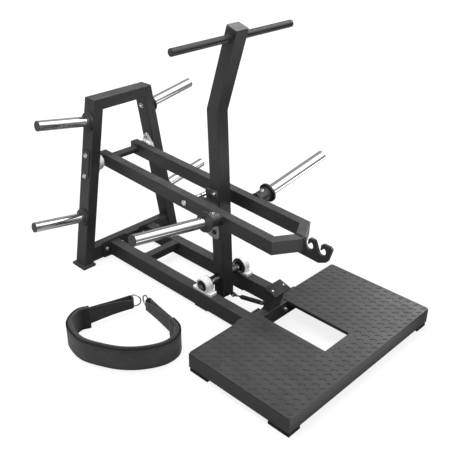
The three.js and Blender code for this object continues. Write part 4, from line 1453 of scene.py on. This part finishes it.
@dataclass
class LeverArm(SubAssembly):
    """The lever: two arms, nose, double hook, pivot, catch pin and loading sleeves."""

    body: str = "lever"
    droop: float = math.radians(2.87)
    arm_half: float = 0.105
    arm_thin: float = 0.046
    arm_tall: float = 0.067
    plug_inset: float = 0.0066
    tail: float = 0.037
    shaft: float = 0.0125
    tube: float = 0.020
    pin: float = 0.0105
    pin_along: float = 0.612
    pin_washer: tuple[Point, ...] = ((0.013, 0), (0.0185, 0), (0.0185, 0.002), (0.013, 0.002))
    pin_head: tuple[Point, ...] = (
        (0.0152, 0.0018), (0.0150, 0.005), (0.0118, 0.0068), (0.0068, 0.0068), (0.0062, 0.003), (0, 0.003))
    horn_along: float = 0.828
    horn_tilt: float = math.radians(10)
    stub: float = 0.0325
    stub_bolt: float = 0.042
    to_flange: float = 0.131
    flange: float = 0.047
    flange_thick: float = 0.010
    sleeve: float = 0.025
    sleeve_length: float = 0.536
    stopper_along: float = 0.823
    stopper_up: float = 0.005
    stopper: tuple[Point, ...] = (
        (0.0052, 0.0), (0.005, 0.0006), (0.0036, 0.0009), (0.0034, 0.0004), (0, 0.0004))
    nose_along: float = 1.130
    nose_aside: float = 0.0053
    nose_turn: float = math.radians(60)

    def build(self) -> None:
        """Dresses the arms and builds the turned parts, bolts and welds."""
        dress(CHARCOAL, *both("lever_arm", "nose_member"))
        dress(HOOK_COAT, "hook_plate", bevel=0.0014)
        for side in Side:
            self.horn(side)
            self.tail_plug(side)
        self.pivot()
        self.catch_pin()
        self.welds()

    def spot(self, along: float, aside: float, upward: float = 0.0) -> Vector:
        """Gives a place from the pivot: along the arms, to the left, and square to the arms."""
        return centre("lever_pivot_tube") + self.heading() * along + LEFTWARD * aside + self.upward() * upward

    def heading(self) -> Vector:
        """The direction that the arms run in."""
        return Vector((math.cos(self.droop), 0, -math.sin(self.droop)))

    def upward(self) -> Vector:
        """The direction square to the arms and up."""
        return Vector((math.sin(self.droop), 0, math.cos(self.droop)))

    def horn(self, side: Side) -> None:
        """Builds one loading sleeve with its stub, flange, cap and bolt, and the stopper behind it.

        Args:
            side: The side that it stands on.
        """
        inner = side.value * (self.arm_half - self.arm_thin / 2)
        root = self.spot(self.horn_along, inner)
        axis = side.out * math.cos(self.horn_tilt) + self.upward() * math.sin(self.horn_tilt)
        place = facing(root, axis, self.upward())
        node, horn = f"{side.word}_horn_stub", f"{side.word}_weight_horn"
        rim, bore, front, end = self.flange, self.sleeve, self.to_flange, self.sleeve_length
        back = front - self.flange_thick
        self.turned(f"{node}_and_flange", CHARCOAL, node, place, [
            (self.stub, self.arm_thin + 0.002), (self.stub, back), (rim, back), (rim, back + 0.0036),
            (rim - 0.003, back + 0.0042), (rim - 0.003, back + 0.0058), (rim, back + 0.0064), (rim, front),
            (rim - 0.008, front), (rim - 0.009, front - 0.0015), (rim - 0.011, front - 0.0015),
            (rim - 0.012, front), (bore + 0.0004, front), (bore + 0.0004, front - 0.004)], 0.0009, 64)
        self.turned(f"{horn}_sleeve", CHROME, horn, place, [
            (bore, front - 0.003), (bore, end - 0.0024), (bore - 0.004, end - 0.0024)], 0.0004, 64)
        self.turned(f"{horn}_end_plug", END_PLASTIC, horn, place, [
            (bore - 0.004, end - 0.0022), (bore + 0.0001, end - 0.0022), (bore + 0.0001, end - 0.001),
            (bore - 0.0012, end), (0, end)], 0.0006, 64)
        across = axis.cross(self.heading())
        above = across if across.z > 0 else -across
        seat = root + axis * (self.arm_thin + self.stub_bolt) + above * self.stub
        Solid().bolt(seat, above, STUB_BOLT).piece(f"{node}_bolt", ZINC, self.body)
        mouth = facing(self.spot(self.stopper_along, inner, self.stopper_up), -side.out, self.upward())
        self.turned(f"{side.word}_arm_stopper", RUBBER, "", mouth, self.stopper, 0.0003, 28)

    def tail_plug(self, side: Side) -> None:
        """Closes an arm's rear end with a plug.

        Args:
            side: The side that the arm is on.
        """
        place = facing(self.spot(-self.tail, side.value * self.arm_half), -self.heading(), self.upward())
        section = rectangle(self.arm_thin - self.plug_inset, self.arm_tall - self.plug_inset, 0.004)
        plug = Solid().prism(section, -0.008, 0.0008, place)
        plug.piece(f"{side.word}_arm_tail_plug", END_PLASTIC, self.body, bevel=0.001)

    def pivot(self) -> None:
        """Builds the pivot tube between the arms and the shaft through it."""
        place = facing(centre("lever_pivot_tube"), LEFTWARD, self.upward())
        half, reach = half_across("lever_pivot_tube"), half_across("lever_pivot_shaft")
        self.turned("lever_pivot_tube_body", CHARCOAL, "lever_pivot_tube", place, [
            (self.tube, -half), (self.tube, half)])
        self.turned("lever_pivot_shaft_bar", ZINC, "lever_pivot_shaft", place, [
            (0, -reach), (self.shaft, -reach), (self.shaft, reach), (0, reach)], 0.0012, 40)

    def catch_pin(self) -> None:
        """Builds the catch pin and the round bolt heads outside the arms."""
        place, half = facing(self.spot(self.pin_along, 0), LEFTWARD, self.upward()), half_across("catch_pin")
        self.turned("catch_pin_bar", CHROME, "catch_pin", place, [
            (self.pin, -half), (self.pin, half)], sides=40)
        heads, washers = Solid(), Solid()
        for side in Side:
            seat = self.spot(self.pin_along, side.value * (self.arm_half + self.arm_thin / 2))
            face = facing(seat, side.out, self.upward())
            washers.lathe(self.pin_washer, face, 0.0006, 40)
            heads.lathe(self.pin_head, face, 0.0014, 40)
        washers.piece("catch_pin_washers", BLACK_STEEL, self.body)
        heads.piece("catch_pin_bolts", ZINC, self.body)

    def welds(self) -> None:
        """Lays the beads round the pivot tube, the stubs and the nose's foremost joint."""
        beads = Solid()
        half = self.arm_thin / 2 + GAP
        for side in Side:
            root = facing(self.spot(0, side.value * (self.arm_half - half)), LEFTWARD, self.upward())
            beads.weld(circle(self.tube), root)
            outer, climbed = side.value * (self.arm_half + half), self.arm_thin * math.tan(self.horn_tilt)
            mouth = facing(self.spot(self.horn_along, outer, climbed), LEFTWARD, self.upward())
            stretched = mouth @ Matrix.Diagonal((1, 1 / math.cos(self.horn_tilt), 1, 1))
            beads.weld(circle(self.stub + 0.0005), stretched)
            meet = self.spot(self.nose_along + self.arm_half / math.tan(self.nose_turn),
                             side.value * self.nose_aside)
            section = rectangle(self.arm_thin / math.sin(self.nose_turn), self.arm_tall + 0.001, 0.006)
            beads.weld(section, facing(meet, side.out, self.upward()), FINE_WELD)
        beads.piece("lever_welds", CHARCOAL, self.body)


@dataclass
class CatchPost(SubAssembly):
    """The swinging post: tube, cap, handle bar, catch plates and pivot shaft."""

    body: str = "swing_post"
    lean: float = math.radians(3)
    bend: float = math.radians(20.2)
    lower: float = 0.832
    foot: float = 0.105
    wide: float = 0.072
    deep: float = 0.062
    plug_inset: float = 0.0066
    handle: float = 0.016
    handle_wall: float = 0.0025
    from_bend: float = 0.345
    shaft: float = 0.0125
    spacer: float = 0.021
    spacer_half: float = 0.098
    screw_inset: float = 0.011
    screw_turns: tuple[float, float] = (0.5, 2.3)
    screw: tuple[Point, ...] = (
        (0.0042, -0.001), (0.004, 0.0022), (0.0022, 0.0026), (0.002, 0.0006), (0, 0.0006))
    bolt_seat: float = 0.0405
    bolts: tuple[Point, ...] = ((-0.0097, 0.2448), (-0.004, 0.4403))

    def build(self) -> None:
        """Dresses the post and builds the turned parts, bolts and welds."""
        dress(CHARCOAL, "post")
        dress(CAP_PLASTIC, "post_cap", bevel=0.0014)
        dress(BLACK_STEEL, "strut_clevis", bevel=0.0006)
        dress(CATCH_STEEL, *both("catch_plate"), bevel=0.0007)
        self.handle_bar()
        self.pivot()
        self.plate_bolts()
        self.foot_plug()

    def own(self) -> Matrix:
        """The post's own frame: the pivot at its origin, Z up along the lower part."""
        return Matrix.Translation(centre("post_pivot_shaft")) @ Matrix.Rotation(-self.lean, 4, "Y")

    def grip(self) -> Vector:
        """The middle of the handle bar."""
        along = Vector((math.sin(self.bend), 0, math.cos(self.bend)))
        return self.own() @ (UP * self.lower + along * self.from_bend)

    def handle_bar(self) -> None:
        """Builds the handle bar, its end plugs and its welds."""
        place, half = facing(self.grip(), LEFTWARD), half_across("handle_bar")
        outer, inner = self.handle, self.handle - self.handle_wall
        self.turned("handle_bar_tube", CHARCOAL, "handle_bar", place, [
            (inner, 0.004 - half), (inner, -half), (outer, -half), (outer, half), (inner, half),
            (inner, half - 0.004)], 0.0007)
        plugs, beads = Solid(), Solid()
        for side in Side:
            plugs.lathe([
                (inner - 0.0002, half - 0.006), (inner - 0.0002, half - 0.0006),
                (inner - 0.003, half + 0.0006), (0, half + 0.001)],
                place @ Matrix.Scale(side.value, 4, UP), 0.001, 40)
            seat = facing(self.grip() + side.out * (self.wide / 2 + 0.0002), LEFTWARD)
            beads.weld(circle(outer + 0.0004), seat, FINE_WELD)
        plugs.piece("handle_bar_plugs", END_PLASTIC, self.body)
        beads.piece("post_welds", CHARCOAL, self.body)

    def pivot(self) -> None:
        """Builds the stepped pivot shaft, its bright end faces and its collars' screws."""
        middle, half = centre("post_pivot_shaft"), half_across("post_pivot_shaft")
        place = facing(middle, LEFTWARD)
        inside, outside, bar, collar = self.wide / 2 + GAP, self.spacer_half, self.shaft, self.spacer
        self.turned("post_pivot_shaft_bar", SHAFT_STEEL, "post_pivot_shaft", place, [
            (0, -half), (bar, -half), (bar, -outside), (collar, -outside), (collar, -inside), (bar, -inside),
            (bar, inside), (collar, inside), (collar, outside), (bar, outside), (bar, half), (0, half)],
            0.001, 48)
        faces, screws = Solid(), Solid()
        for side in Side:
            faces.lathe([
                (bar - 0.001, half - 0.0002), (bar - 0.002, half + 0.0006), (0.004, half + 0.0006),
                (0.003, half - 0.0004), (0, half - 0.0004)],
                place @ Matrix.Scale(side.value, 4, UP), 0.0005, 36)
            seat = middle + side.out * (outside - self.screw_inset)
            for turn in self.screw_turns:
                around = Vector((math.cos(turn), 0, math.sin(turn)))
                screws.lathe(self.screw, facing(seat + around * collar, around, LEFTWARD), 0.0005, 20)
        screws.piece("shaft_collar_screws", ZINC, self.body)
        faces.piece("post_shaft_end_faces", CATCH_STEEL, self.body)

    def plate_bolts(self) -> None:
        """Sets the bolts that hold the catch plates to the post."""
        rows = (("lower_catch_bolts", BLACK_STEEL), ("upper_catch_bolts", ZINC))
        for (x, z), (name, finish) in zip(self.bolts, rows):
            heads = Solid()
            for side in Side:
                heads.bolt(self.own() @ Vector((x, side.value * self.bolt_seat, z)), side.out, CATCH_BOLT)
            heads.piece(name, finish, self.body)

    def foot_plug(self) -> None:
        """Closes the post's lower end with a plug."""
        section = rectangle(self.deep - self.plug_inset, self.wide - self.plug_inset, 0.004)
        plug = Solid().prism(section, -0.0008, 0.006, self.own() @ Matrix.Translation(UP * -self.foot))
        plug.piece("post_foot_plug", END_PLASTIC, self.body, bevel=0.001)


@dataclass
class DamperStrut(SubAssembly):
    """The small damper between the post's foot and the deck."""

    body: str = "damper_body"
    rod_body: str = "damper_rod"
    radius: float = 0.011
    rod: float = 0.004
    eye: float = 0.009
    eye_half: float = 0.0045
    pin: float = 0.004
    pin_head: tuple[Point, ...] = ((0.0062, 0), (0.0060, 0.0022), (0.003, 0.0032), (0, 0.0032))
    nut: tuple[Point, ...] = ((0.0, -0.0112), (0.0074, -0.0112), (0.0074, -0.0165), (0.0, -0.0165))
    length: float = 0.139
    span: float = 0.189083

    def build(self) -> None:
        """Builds the body, the rod and the pins, and dresses the lug."""
        dress(BLACK_STEEL, "strut_lug", bevel=0.0006)
        near, along = Vector(joint("strut_turn")["pos_m"]), Vector(joint("strut_slide")["axis"])
        far = near + along * self.span
        place = facing(near, along, LEFTWARD)
        neck, rim, end = self.eye - 0.001, self.radius, self.length
        barrel = Solid().lathe([
            (self.rod + 0.0015, neck), (rim - 0.002, neck + 0.0015), (rim, neck + 0.006), (rim, end - 0.006),
            (rim - 0.0015, end - 0.004), (rim - 0.0015, end), (self.rod + 0.0006, end)], place, 0.0012, 40)
        self.eyelet(barrel, near, 0.0005)
        barrel.piece("strut_body_barrel", BLACK_STEEL, self.body, "strut_body")
        shank = Solid().lathe([(self.rod, end - 0.03), (self.rod, self.span - neck + 0.001)], place, sides=28)
        shank.piece("strut_rod_shank", CHROME, self.rod_body, "strut_rod")
        tip = Solid().lathe(self.nut, facing(far, along, LEFTWARD), sides=6)
        self.eyelet(tip, far, 0.0014)
        tip.piece("strut_rod_eye", BLACK_STEEL, self.rod_body, "strut_rod")
        self.pin_ends("strut_lug_pin_ends", near, "frame")
        self.pin_ends("strut_clevis_pin_ends", far, "swing_post")

    def eyelet(self, solid: Solid, spot: Vector, play: float) -> None:
        """Adds an eye round a pin.

        Args:
            solid: The solid that it goes into.
            spot: The pin's middle.
            play: The clearance round the pin.
        """
        half, bore = self.eye_half, self.pin + play
        ring = [(bore, -half), (self.eye, -half), (self.eye, half), (bore, half), (bore, -half)]
        solid.lathe(ring, facing(spot, LEFTWARD), 0.0008, 36)

    def pin_ends(self, name: str, spot: Vector, body: str) -> None:
        """Builds a pin's two bright heads.

        Args:
            name: The piece's name.
            spot: The pin's middle.
            body: The body that it rides on.
        """
        heads = Solid()
        for side in Side:
            heads.lathe(self.pin_head, facing(spot + side.out * (2 * self.eye_half), side.out), 0.0006, 24)
        heads.piece(name, ZINC, body)


@dataclass
class LiftingBelt(SubAssembly):
    """The loose belt: outer band, sewn pad, two doubled straps and two rings."""

    body: str = "belt"
    rear_x: float = -0.31425
    far_y: float = -0.6990693
    span_x: float = 0.488
    span_y: float = 0.398
    shares: tuple[Point, ...] = (
        (0.035, 0.45), (0, 0.33), (0.03, 0.2), (0.12, 0.07), (0.26, 0.01), (0.42, 0), (0.6, 0.08),
        (0.78, 0.21), (0.92, 0.4), (1, 0.63), (0.98, 0.82), (0.88, 0.95), (0.75, 1))
    spacing: float = 0.0025
    band: float = 0.009
    band_height: float = 0.106
    seam_insets: tuple[float, float] = (0.006, 0.011)
    piping: tuple[float, float] = (0.0049, 0.0015)
    pad: float = 0.019
    pad_height: float = 0.116
    pad_crown: float = 0.0025
    pad_seam: float = 0.011
    pad_flats: int = 22
    binding: tuple[float, float] = (0.0074, 0.0032)
    binding_inset: float = 0.0035
    strap_ply: float = 0.004
    strap_root: float = 0.088
    strap_tip: float = 0.048
    strap_bow: float = 0.0012
    root_gap: float = 0.0015
    loop: float = 0.0125
    sink: float = 0.013
    wire: float = 0.0035
    ring_height: float = 0.063
    ring_width: float = 0.042
    ring_corner: float = 0.007
    ring_headings: tuple[tuple[Side, float], ...] = ((Side.LEFT, 45.03), (Side.RIGHT, 171.0))
    play: float = 0.0006

    def __post_init__(self) -> None:
        """Lays the band's outer line, evenly spaced."""
        corners = [Vector((self.rear_x + x * self.span_x, self.far_y + y * self.span_y, 0))
                   for x, y in self.shares]
        self.line = evenly(self.curve(corners, 40), self.spacing)
        self.middle = self.pad_height / 2

    @staticmethod
    def curve(corners: list[Vector], steps: int) -> list[Vector]:
        """Draws a centripetal curve through corners.

        Args:
            corners: The places that it passes.
            steps: The points from one corner to the next.

        Returns:
            The curve's points.
        """
        known = [corners[0] * 2 - corners[1], *corners, corners[-1] * 2 - corners[-2]]
        drawn = []
        for at in range(1, len(known) - 2):
            spots = known[at - 1:at + 3]
            knots = [0.0]
            for one, other in zip(spots, spots[1:]):
                knots.append(knots[-1] + math.sqrt((other - one).length))
            for step in range(steps):
                time = knots[1] + (knots[2] - knots[1]) * step / steps
                lines = [one.lerp(other, (time - knots[leg]) / (knots[leg + 1] - knots[leg]))
                         for leg, (one, other) in enumerate(zip(spots, spots[1:]))]
                bends = [lines[leg].lerp(lines[leg + 1], (time - knots[leg]) / (knots[leg + 2] - knots[leg]))
                         for leg in (0, 1)]
                drawn.append(bends[0].lerp(bends[1], (time - knots[1]) / (knots[2] - knots[1])))
        return [*drawn, corners[-1]]

    def station(self, at: int) -> tuple[Vector, Vector]:
        """Gives the outer line's point and its inward direction at an index."""
        before, after = self.line[max(at - 1, 0)], self.line[min(at + 1, len(self.line) - 1)]
        return self.line[at], UP.cross((after - before).normalized())

    def place(self, at: int, inset: float, height: float) -> Vector:
        """Gives a place inside the outer line's point at an index, at a height from the belt's middle."""
        spot, inward = self.station(at)
        return spot + inward * inset + UP * (self.middle + height)

    def shell(self, section: Outline, inset: float) -> list[list[Vector]]:
        """Runs a section, x inward and y up, along the outer line at an inset."""
        return [[self.place(at, inset + x, y) for x, y in section] for at in range(len(self.line))]

    def build(self) -> None:
        """Builds the belt."""
        self.outer_band()
        self.inner_pad()
        for side, heading in self.ring_headings:
            pivot = joint(f"{side.word}_ring_turn")["pos_m"]
            tip = Vector((pivot[0], pivot[1], 0.0))
            self.strap(side, tip)
            self.ring(side, tip, math.radians(heading))

    def outer_band(self) -> None:
        """Builds the outer band with the stitching along its edges and a near-black roll along its top edge,
        painted shade for the seam line there.
        """
        inset, tall = self.band / 2, self.band_height / 2
        band = Solid().skin(self.shell(rectangle(self.band, self.band_height, 0.002, 3), inset), mapped=True)
        band.piece("belt_outer_band", BAND_WEBBING, self.body, "belt_band")
        stitches = Solid()
        for edge, sewn in product((-1, 1), self.seam_insets):
            self.seam(stitches, -GAP, edge * (tall - sewn), 6)
        stitches.piece("belt_band_stitching", THREAD, self.body)
        # A near-black roll on the band's top edge: painted shade of the seam line.
        piping = Solid().skin(self.shell(oval((0.0, tall), *self.piping, 12), inset), mapped=True)
        piping.piece("belt_band_piping", SHADE_PIPING, self.body)

    def seam(self, solid: Solid, inset: float, height: float, short: int) -> None:
        """Sews a line of stitches along the band.

        Args:
            solid: The solid that they go into.
            inset: How far inside the outer line they lie.
            height: Their height from the belt's middle.
            short: How many points the line stops short of both ends.
        """
        for at in range(short, len(self.line) - short - 2, 2):
            start, end = self.place(at, inset, height), self.place(at + 1, inset, height)
            run = end - start
            path = [start - run * 0.12, start + run * 0.2, start + run * 0.8, end + run * 0.12]
            solid.sweep(path, [0.0002, 0.00055, 0.00055, 0.0002], 6)

    def inner_pad(self) -> None:
        """Builds the padded inner layer with its swollen cover, binding and seams."""
        half, deep = self.pad_height / 2, self.pad / 2
        inset = self.band + GAP + deep
        shares = [2 * at / self.pad_flats - 1 for at in range(self.pad_flats + 1)]
        section = [(0.0004 - deep, (half - 0.004) * share) for share in shares]
        section += [(deep - 0.004 + self.pad_crown * (1 - share ** 4), (half - 0.003) * share)
                    for share in reversed(shares)]
        rows = self.shell(filleted(section, 0.0012, 1, closed=True), inset)
        pad = Solid().skin(rows, mapped=True).piece("belt_inner_pad", PAD_COVER, self.body, "belt_pad")
        seams, binding = Solid(), Solid()
        wide, high = self.binding
        for edge in (-1, 1):
            self.seam(seams, inset + deep - 0.0013, edge * (half - self.pad_seam), 3)
            rolled = oval((0.0, edge * (half - self.binding_inset)), wide, edge * high, 14)
            binding.skin(self.shell(rolled, inset), mapped=True)
        seams.piece("belt_pad_stitching", THREAD, self.body)
        binding.piece("belt_pad_binding", PAD_COVER, self.body)

    def strap(self, side: Side, tip: Vector) -> None:
        """Builds the doubled strap from the band's end round a ring's bar and back.

        Args:
            side: The band's end that it starts from.
            tip: The ring bar's place.
        """
        spot, inward = self.station(0 if side is Side.LEFT else len(self.line) - 1)
        root = spot + inward * (self.band / 2)
        length, heading = (tip - root).length, (tip - root).normalized()
        aside = UP.cross(heading)
        near, far = self.root_gap + self.strap_ply / 2, self.loop
        back = length + self.wire + self.play + self.strap_ply / 2 - far
        run = [(share * back, near + (far - near) * share - self.strap_bow * math.sin(math.pi * share))
               for share in (step / 40 for step in range(41))]
        tip_bend = arc((back, 0.0), far, far, QUARTER, -QUARTER, 16)[1:-1]
        root_bend = arc((0.0, 0.0), near, near, -QUARTER, -3 * QUARTER, 8)[1:-1]
        returned = [(x, -y) for x, y in reversed(run)]
        path = [Vector(spot) for spot in (*run, *tip_bend, *returned, *root_bend)]
        rows = []
        for at, middle in enumerate(path):
            course = path[(at + 1) % len(path)] - path[at - 1]
            normal = Vector((-course.y, course.x)).normalized()
            share = min(max(middle.x / length, 0), 1)
            tall = self.strap_root + (self.strap_tip - self.strap_root) * share
            sunk = self.sink * share ** 2 * (0.5 - 0.5 * side.value * middle.y / far)
            row = []
            for thick, high in rectangle(self.strap_ply, tall, 0.0012, 2):
                along, off = middle + normal * thick
                row.append(root + heading * along + aside * off + UP * (self.middle + high - sunk))
            rows.append(row)
        strap = Solid().skin(rows, round_path=True, mapped=True)
        strap.piece(f"{side.word}_belt_strap", STRAP_WEBBING, self.body, "belt_band")

    def ring(self, side: Side, tip: Vector, heading: float) -> None:
        """Builds one D-ring.

        Args:
            side: The ring's side.
            tip: The bar's place.
            heading: The direction that the bow points in.
        """
        half, corner = self.ring_height / 2, self.ring_corner
        bar = half - corner
        flat = [(0.0, y) for y in (-bar, -bar / 2, 0.0, bar / 2, bar)]
        flat += arc((corner, bar), corner, corner, 2 * QUARTER, QUARTER, 6)[1:]
        flat += arc((corner, 0.0), self.ring_width - corner, half, QUARTER, -QUARTER, 36)[1:]
        flat += arc((corner, -bar), corner, corner, -QUARTER, -2 * QUARTER, 6)[1:-1]
        out = Vector((math.cos(heading), math.sin(heading), 0))
        path = [tip + out * x + UP * (self.middle + z) for x, z in flat]
        ring = Solid().sweep(path, self.wire, 14, round_path=True)
        ring.piece(f"{side.word}_belt_d_ring", RING_CHROME, f"{side.word}_ring", f"{side.word}_belt_ring")


# Studio


@dataclass(frozen=True)
class Lamp:
    """A square soft lamp that looks at the machine.

    Its name, its place, the length of its sides, its power in watts and whether it shows in gloss.
    """

    name: str
    place: tuple[float, float, float]
    size: float
    power: float
    mirrored: bool = False

    def hang(self, aim: Vector) -> None:
        """Hangs the lamp.

        Args:
            aim: The place that it looks at.
        """
        data = bpy.data.lights.new(self.name, "AREA")
        data.size, data.energy = self.size, self.power
        made = bpy.data.objects.new(self.name, data)
        made.location = self.place
        made.rotation_euler = (aim - Vector(self.place)).to_track_quat("-Z", "Y").to_euler()
        made.visible_glossy = self.mirrored
        made.visible_camera = False
        bpy.context.scene.collection.objects.link(made)


@dataclass
class Studio:
    """Pale floor, soft lamps, white surroundings and the camera at the photograph's angle.

    The surroundings are greys for gloss by the angle round the machine in degrees, and greys for
    soft light by the height. The floor's gleams are ranges of a place or a distance, each followed
    by the brightness at its two ends.
    """

    lens: float = 54.07
    shift: tuple[float, float] = (0.0302, -0.0088)
    place: tuple[float, float, float] = (1.96671, -1.95707, 1.95311)
    turn: tuple[float, float, float] = (61.424, 0.0, 44.907)
    aim: tuple[float, float, float] = (0.0, 0.0, 0.4)
    lamps: tuple[Lamp, ...] = (
        Lamp("key lamp", (-1.4, -2.6, 2.4), 2.0, 20.0),
        Lamp("top lamp", (-0.6, -0.1, 4.6), 2.6, 285.0),
        Lamp("front lamp", (2.4, 0.3, 0.55), 1.0, 11.0),
        Lamp("sheen lamp", (-0.6, 4.2, 2.7), 1.2, 50.0, True))
    bands: tuple[Point, ...] = (
        (-180, 0.06), (-120, 0.04), (-60, 0.06), (-15, 0.1), (0, 0.2), (14, 0.5), (28, 1.2), (45, 2.1),
        (78, 2.0), (90, 0.95), (100, 0.5), (115, 0.27), (145, 0.4), (165, 0.3), (180, 0.1))
    sky: tuple[Point, ...] = ((0.0, 0.06), (0.5, 0.07), (0.65, 0.16), (0.85, 0.7), (1.0, 1.1))
    floor_half: float = 9.0
    floor_drop: float = 0.0004
    floor_tones: tuple[Colour, Colour] = (grey(0.12), grey(0.14))
    near_gleam: tuple[float, ...] = (0.0, -0.7, 0.04, 0.58)
    rear_gleam: tuple[float, ...] = (-0.7, -1.5, 0.6, 1.0)
    front_gleam: tuple[float, ...] = (0.78, 1.0, 0.0, 1.3)
    front_side: tuple[float, ...] = (0.7, 0.4)
    card_place: tuple[float, ...] = (0.7, 1.35, 0.0)
    card_gleam: tuple[float, ...] = (0.5, 0.25, 0.0, 3.5)
    seen_gleam: tuple[float, ...] = (1.5, 4.0, 0.84, 1.0)

    def build(self) -> None:
        """Builds the studio."""
        self.floor()
        self.world()
        for lamp in self.lamps:
            lamp.hang(Vector(self.aim))
        self.camera()
        bpy.context.scene.view_settings.view_transform = "Standard"

    def camera(self) -> None:
        """Creates the camera and makes it the scene's own."""
        data = bpy.data.cameras.new("camera")
        data.sensor_width = 36.0
        data.lens = self.lens
        data.shift_x, data.shift_y = self.shift
        data.clip_end = 100.0
        made = bpy.data.objects.new("camera", data)
        made.location = self.place
        made.rotation_euler = tuple(math.radians(angle) for angle in self.turn)
        bpy.context.scene.collection.objects.link(made)
        bpy.context.scene.camera = made

    @staticmethod
    def rays(wiring: Wiring) -> tuple[Socket, Socket]:
        """Tells the camera's rays and the ones that gloss or glass sends on.

        Args:
            wiring: The tree's wiring.

        Returns:
            A mask of the first and a mask of the others.
        """
        kinds = wiring.node("ShaderNodeLightPath").outputs
        mirrored = wiring.maths("MAXIMUM", kinds["Is Glossy Ray"], kinds["Is Transmission Ray"])
        return kinds["Is Camera Ray"], mirrored

    @staticmethod
    def backdrop(wiring: Wiring, value: Socket, stops: Iterable[Point]) -> Socket:
        """Lights the surroundings by greys along a value from -1 to 1.

        Args:
            wiring: The tree's wiring.
            value: The value.
            stops: Positions from 0 to 1 with their greys.

        Returns:
            The background's shader.
        """
        made = wiring.node("ShaderNodeValToRGB")
        wiring.fill(made, wiring.maths("MULTIPLY_ADD", value, 0.5, 0.5))
        elements = made.color_ramp.elements
        for at, (position, level) in enumerate(stops):
            element = elements[at] if at < 2 else elements.new(position)
            element.position, element.color = position, grey(level)
        return wiring.give(wiring.node("ShaderNodeBackground"), Color=made.outputs[0]).outputs[0]

    def world(self) -> None:
        """Surrounds the scene with white for the camera, bands of grey for gloss and a dim horizon."""
        world = bpy.data.worlds.new("studio")
        bpy.context.scene.world = world
        world.use_nodes = True
        world.node_tree.nodes.clear()
        wiring = Wiring(world.node_tree)
        seen, mirrored = self.rays(wiring)
        ahead, _, upward = wiring.split(wiring.mapped("Generated"))
        around = wiring.times(wiring.maths("ARCTAN2", upward, ahead), 1 / math.pi)
        banded = self.backdrop(wiring, around, ((0.5 + turn / 360, level) for turn, level in self.bands))
        soft = self.backdrop(wiring, upward, self.sky)
        white = wiring.give(wiring.node("ShaderNodeBackground"), Color=grey(1.0)).outputs[0]
        lit = wiring.fill(wiring.node("ShaderNodeMixShader"), mirrored, soft, banded).outputs[0]
        shown = wiring.fill(wiring.node("ShaderNodeMixShader"), seen, lit, white).outputs[0]
        wiring.give(wiring.node("ShaderNodeOutputWorld"), Surface=shown)

    def gleam(self, wiring: Wiring) -> Socket:
        """Works out how bright the floor shows, to the camera and in gloss.

        Args:
            wiring: The floor material's wiring.

        Returns:
            The strength of its glow.
        """
        place = wiring.surface("Position")
        ahead, aside, _ = wiring.split(place)
        near = wiring.times(wiring.spread(aside, *self.near_gleam), wiring.spread(ahead, *self.rear_gleam))
        front = wiring.times(wiring.spread(ahead, *self.front_gleam), wiring.spread(aside, *self.front_side))
        to_card = wiring.vectors("DISTANCE", place, self.card_place).outputs["Value"]
        strip = wiring.maths("MAXIMUM", wiring.maths("MAXIMUM", near, front),
                             wiring.spread(to_card, *self.card_gleam))
        away = wiring.vectors("LENGTH", place).outputs["Value"]
        seen, mirrored = self.rays(wiring)
        return wiring.maths("MULTIPLY_ADD", mirrored, strip,
                            wiring.times(seen, wiring.spread(away, *self.seen_gleam)))

    def floor(self) -> None:
        """Lays a pale floor that shows white and keeps the shadow."""
        mesh = bmesh.new()
        half = self.floor_half
        mesh.faces.new([mesh.verts.new((x * half, y * half, -self.floor_drop))
                        for x, y in ((-1, -1), (1, -1), (1, 1), (-1, 1))])
        data = bpy.data.meshes.new("studio floor")
        mesh.to_mesh(data)
        mesh.free()
        material = bpy.data.materials.new("studio floor")
        material.use_nodes = True
        wiring = Wiring(material.node_tree)
        cloud = wiring.speckle(wiring.mapped(), 1.5, 3.0)
        wiring.give(material.node_tree.nodes["Principled BSDF"], Roughness=0.9, Specular_IOR_Level=0.0,
                    Base_Color=wiring.tint(cloud, *self.floor_tones), Emission_Color=grey(1.0),
                    Emission_Strength=self.gleam(wiring))
        data.materials.append(material)
        made = bpy.data.objects.new("studio_floor", data)
        bpy.context.scene.collection.objects.link(made)
        made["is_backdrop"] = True


def corners(box: Iterable[Sequence[float]]) -> list[list[float]]:
    """Gives a box as plain lists of numbers."""
    return [[float(part) for part in corner] for corner in box]


def main() -> None:
    """Builds the scene, one sub-assembly after the other."""
    logging.basicConfig(level=logging.INFO, format="%(name)s %(message)s")
    Studio().build()
    for kind in (RearFrame, ArmBearings, FloorFrame, StandingDeck, LeverArm, CatchPost, DamperStrut,
                 LiftingBelt):
        kind().build()
        log.info("%s is ready", kind.__name__)
    {"cad": corners(CAD_BOX), "visual": corners(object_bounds())}


if __name__ == "__main__":
    main()
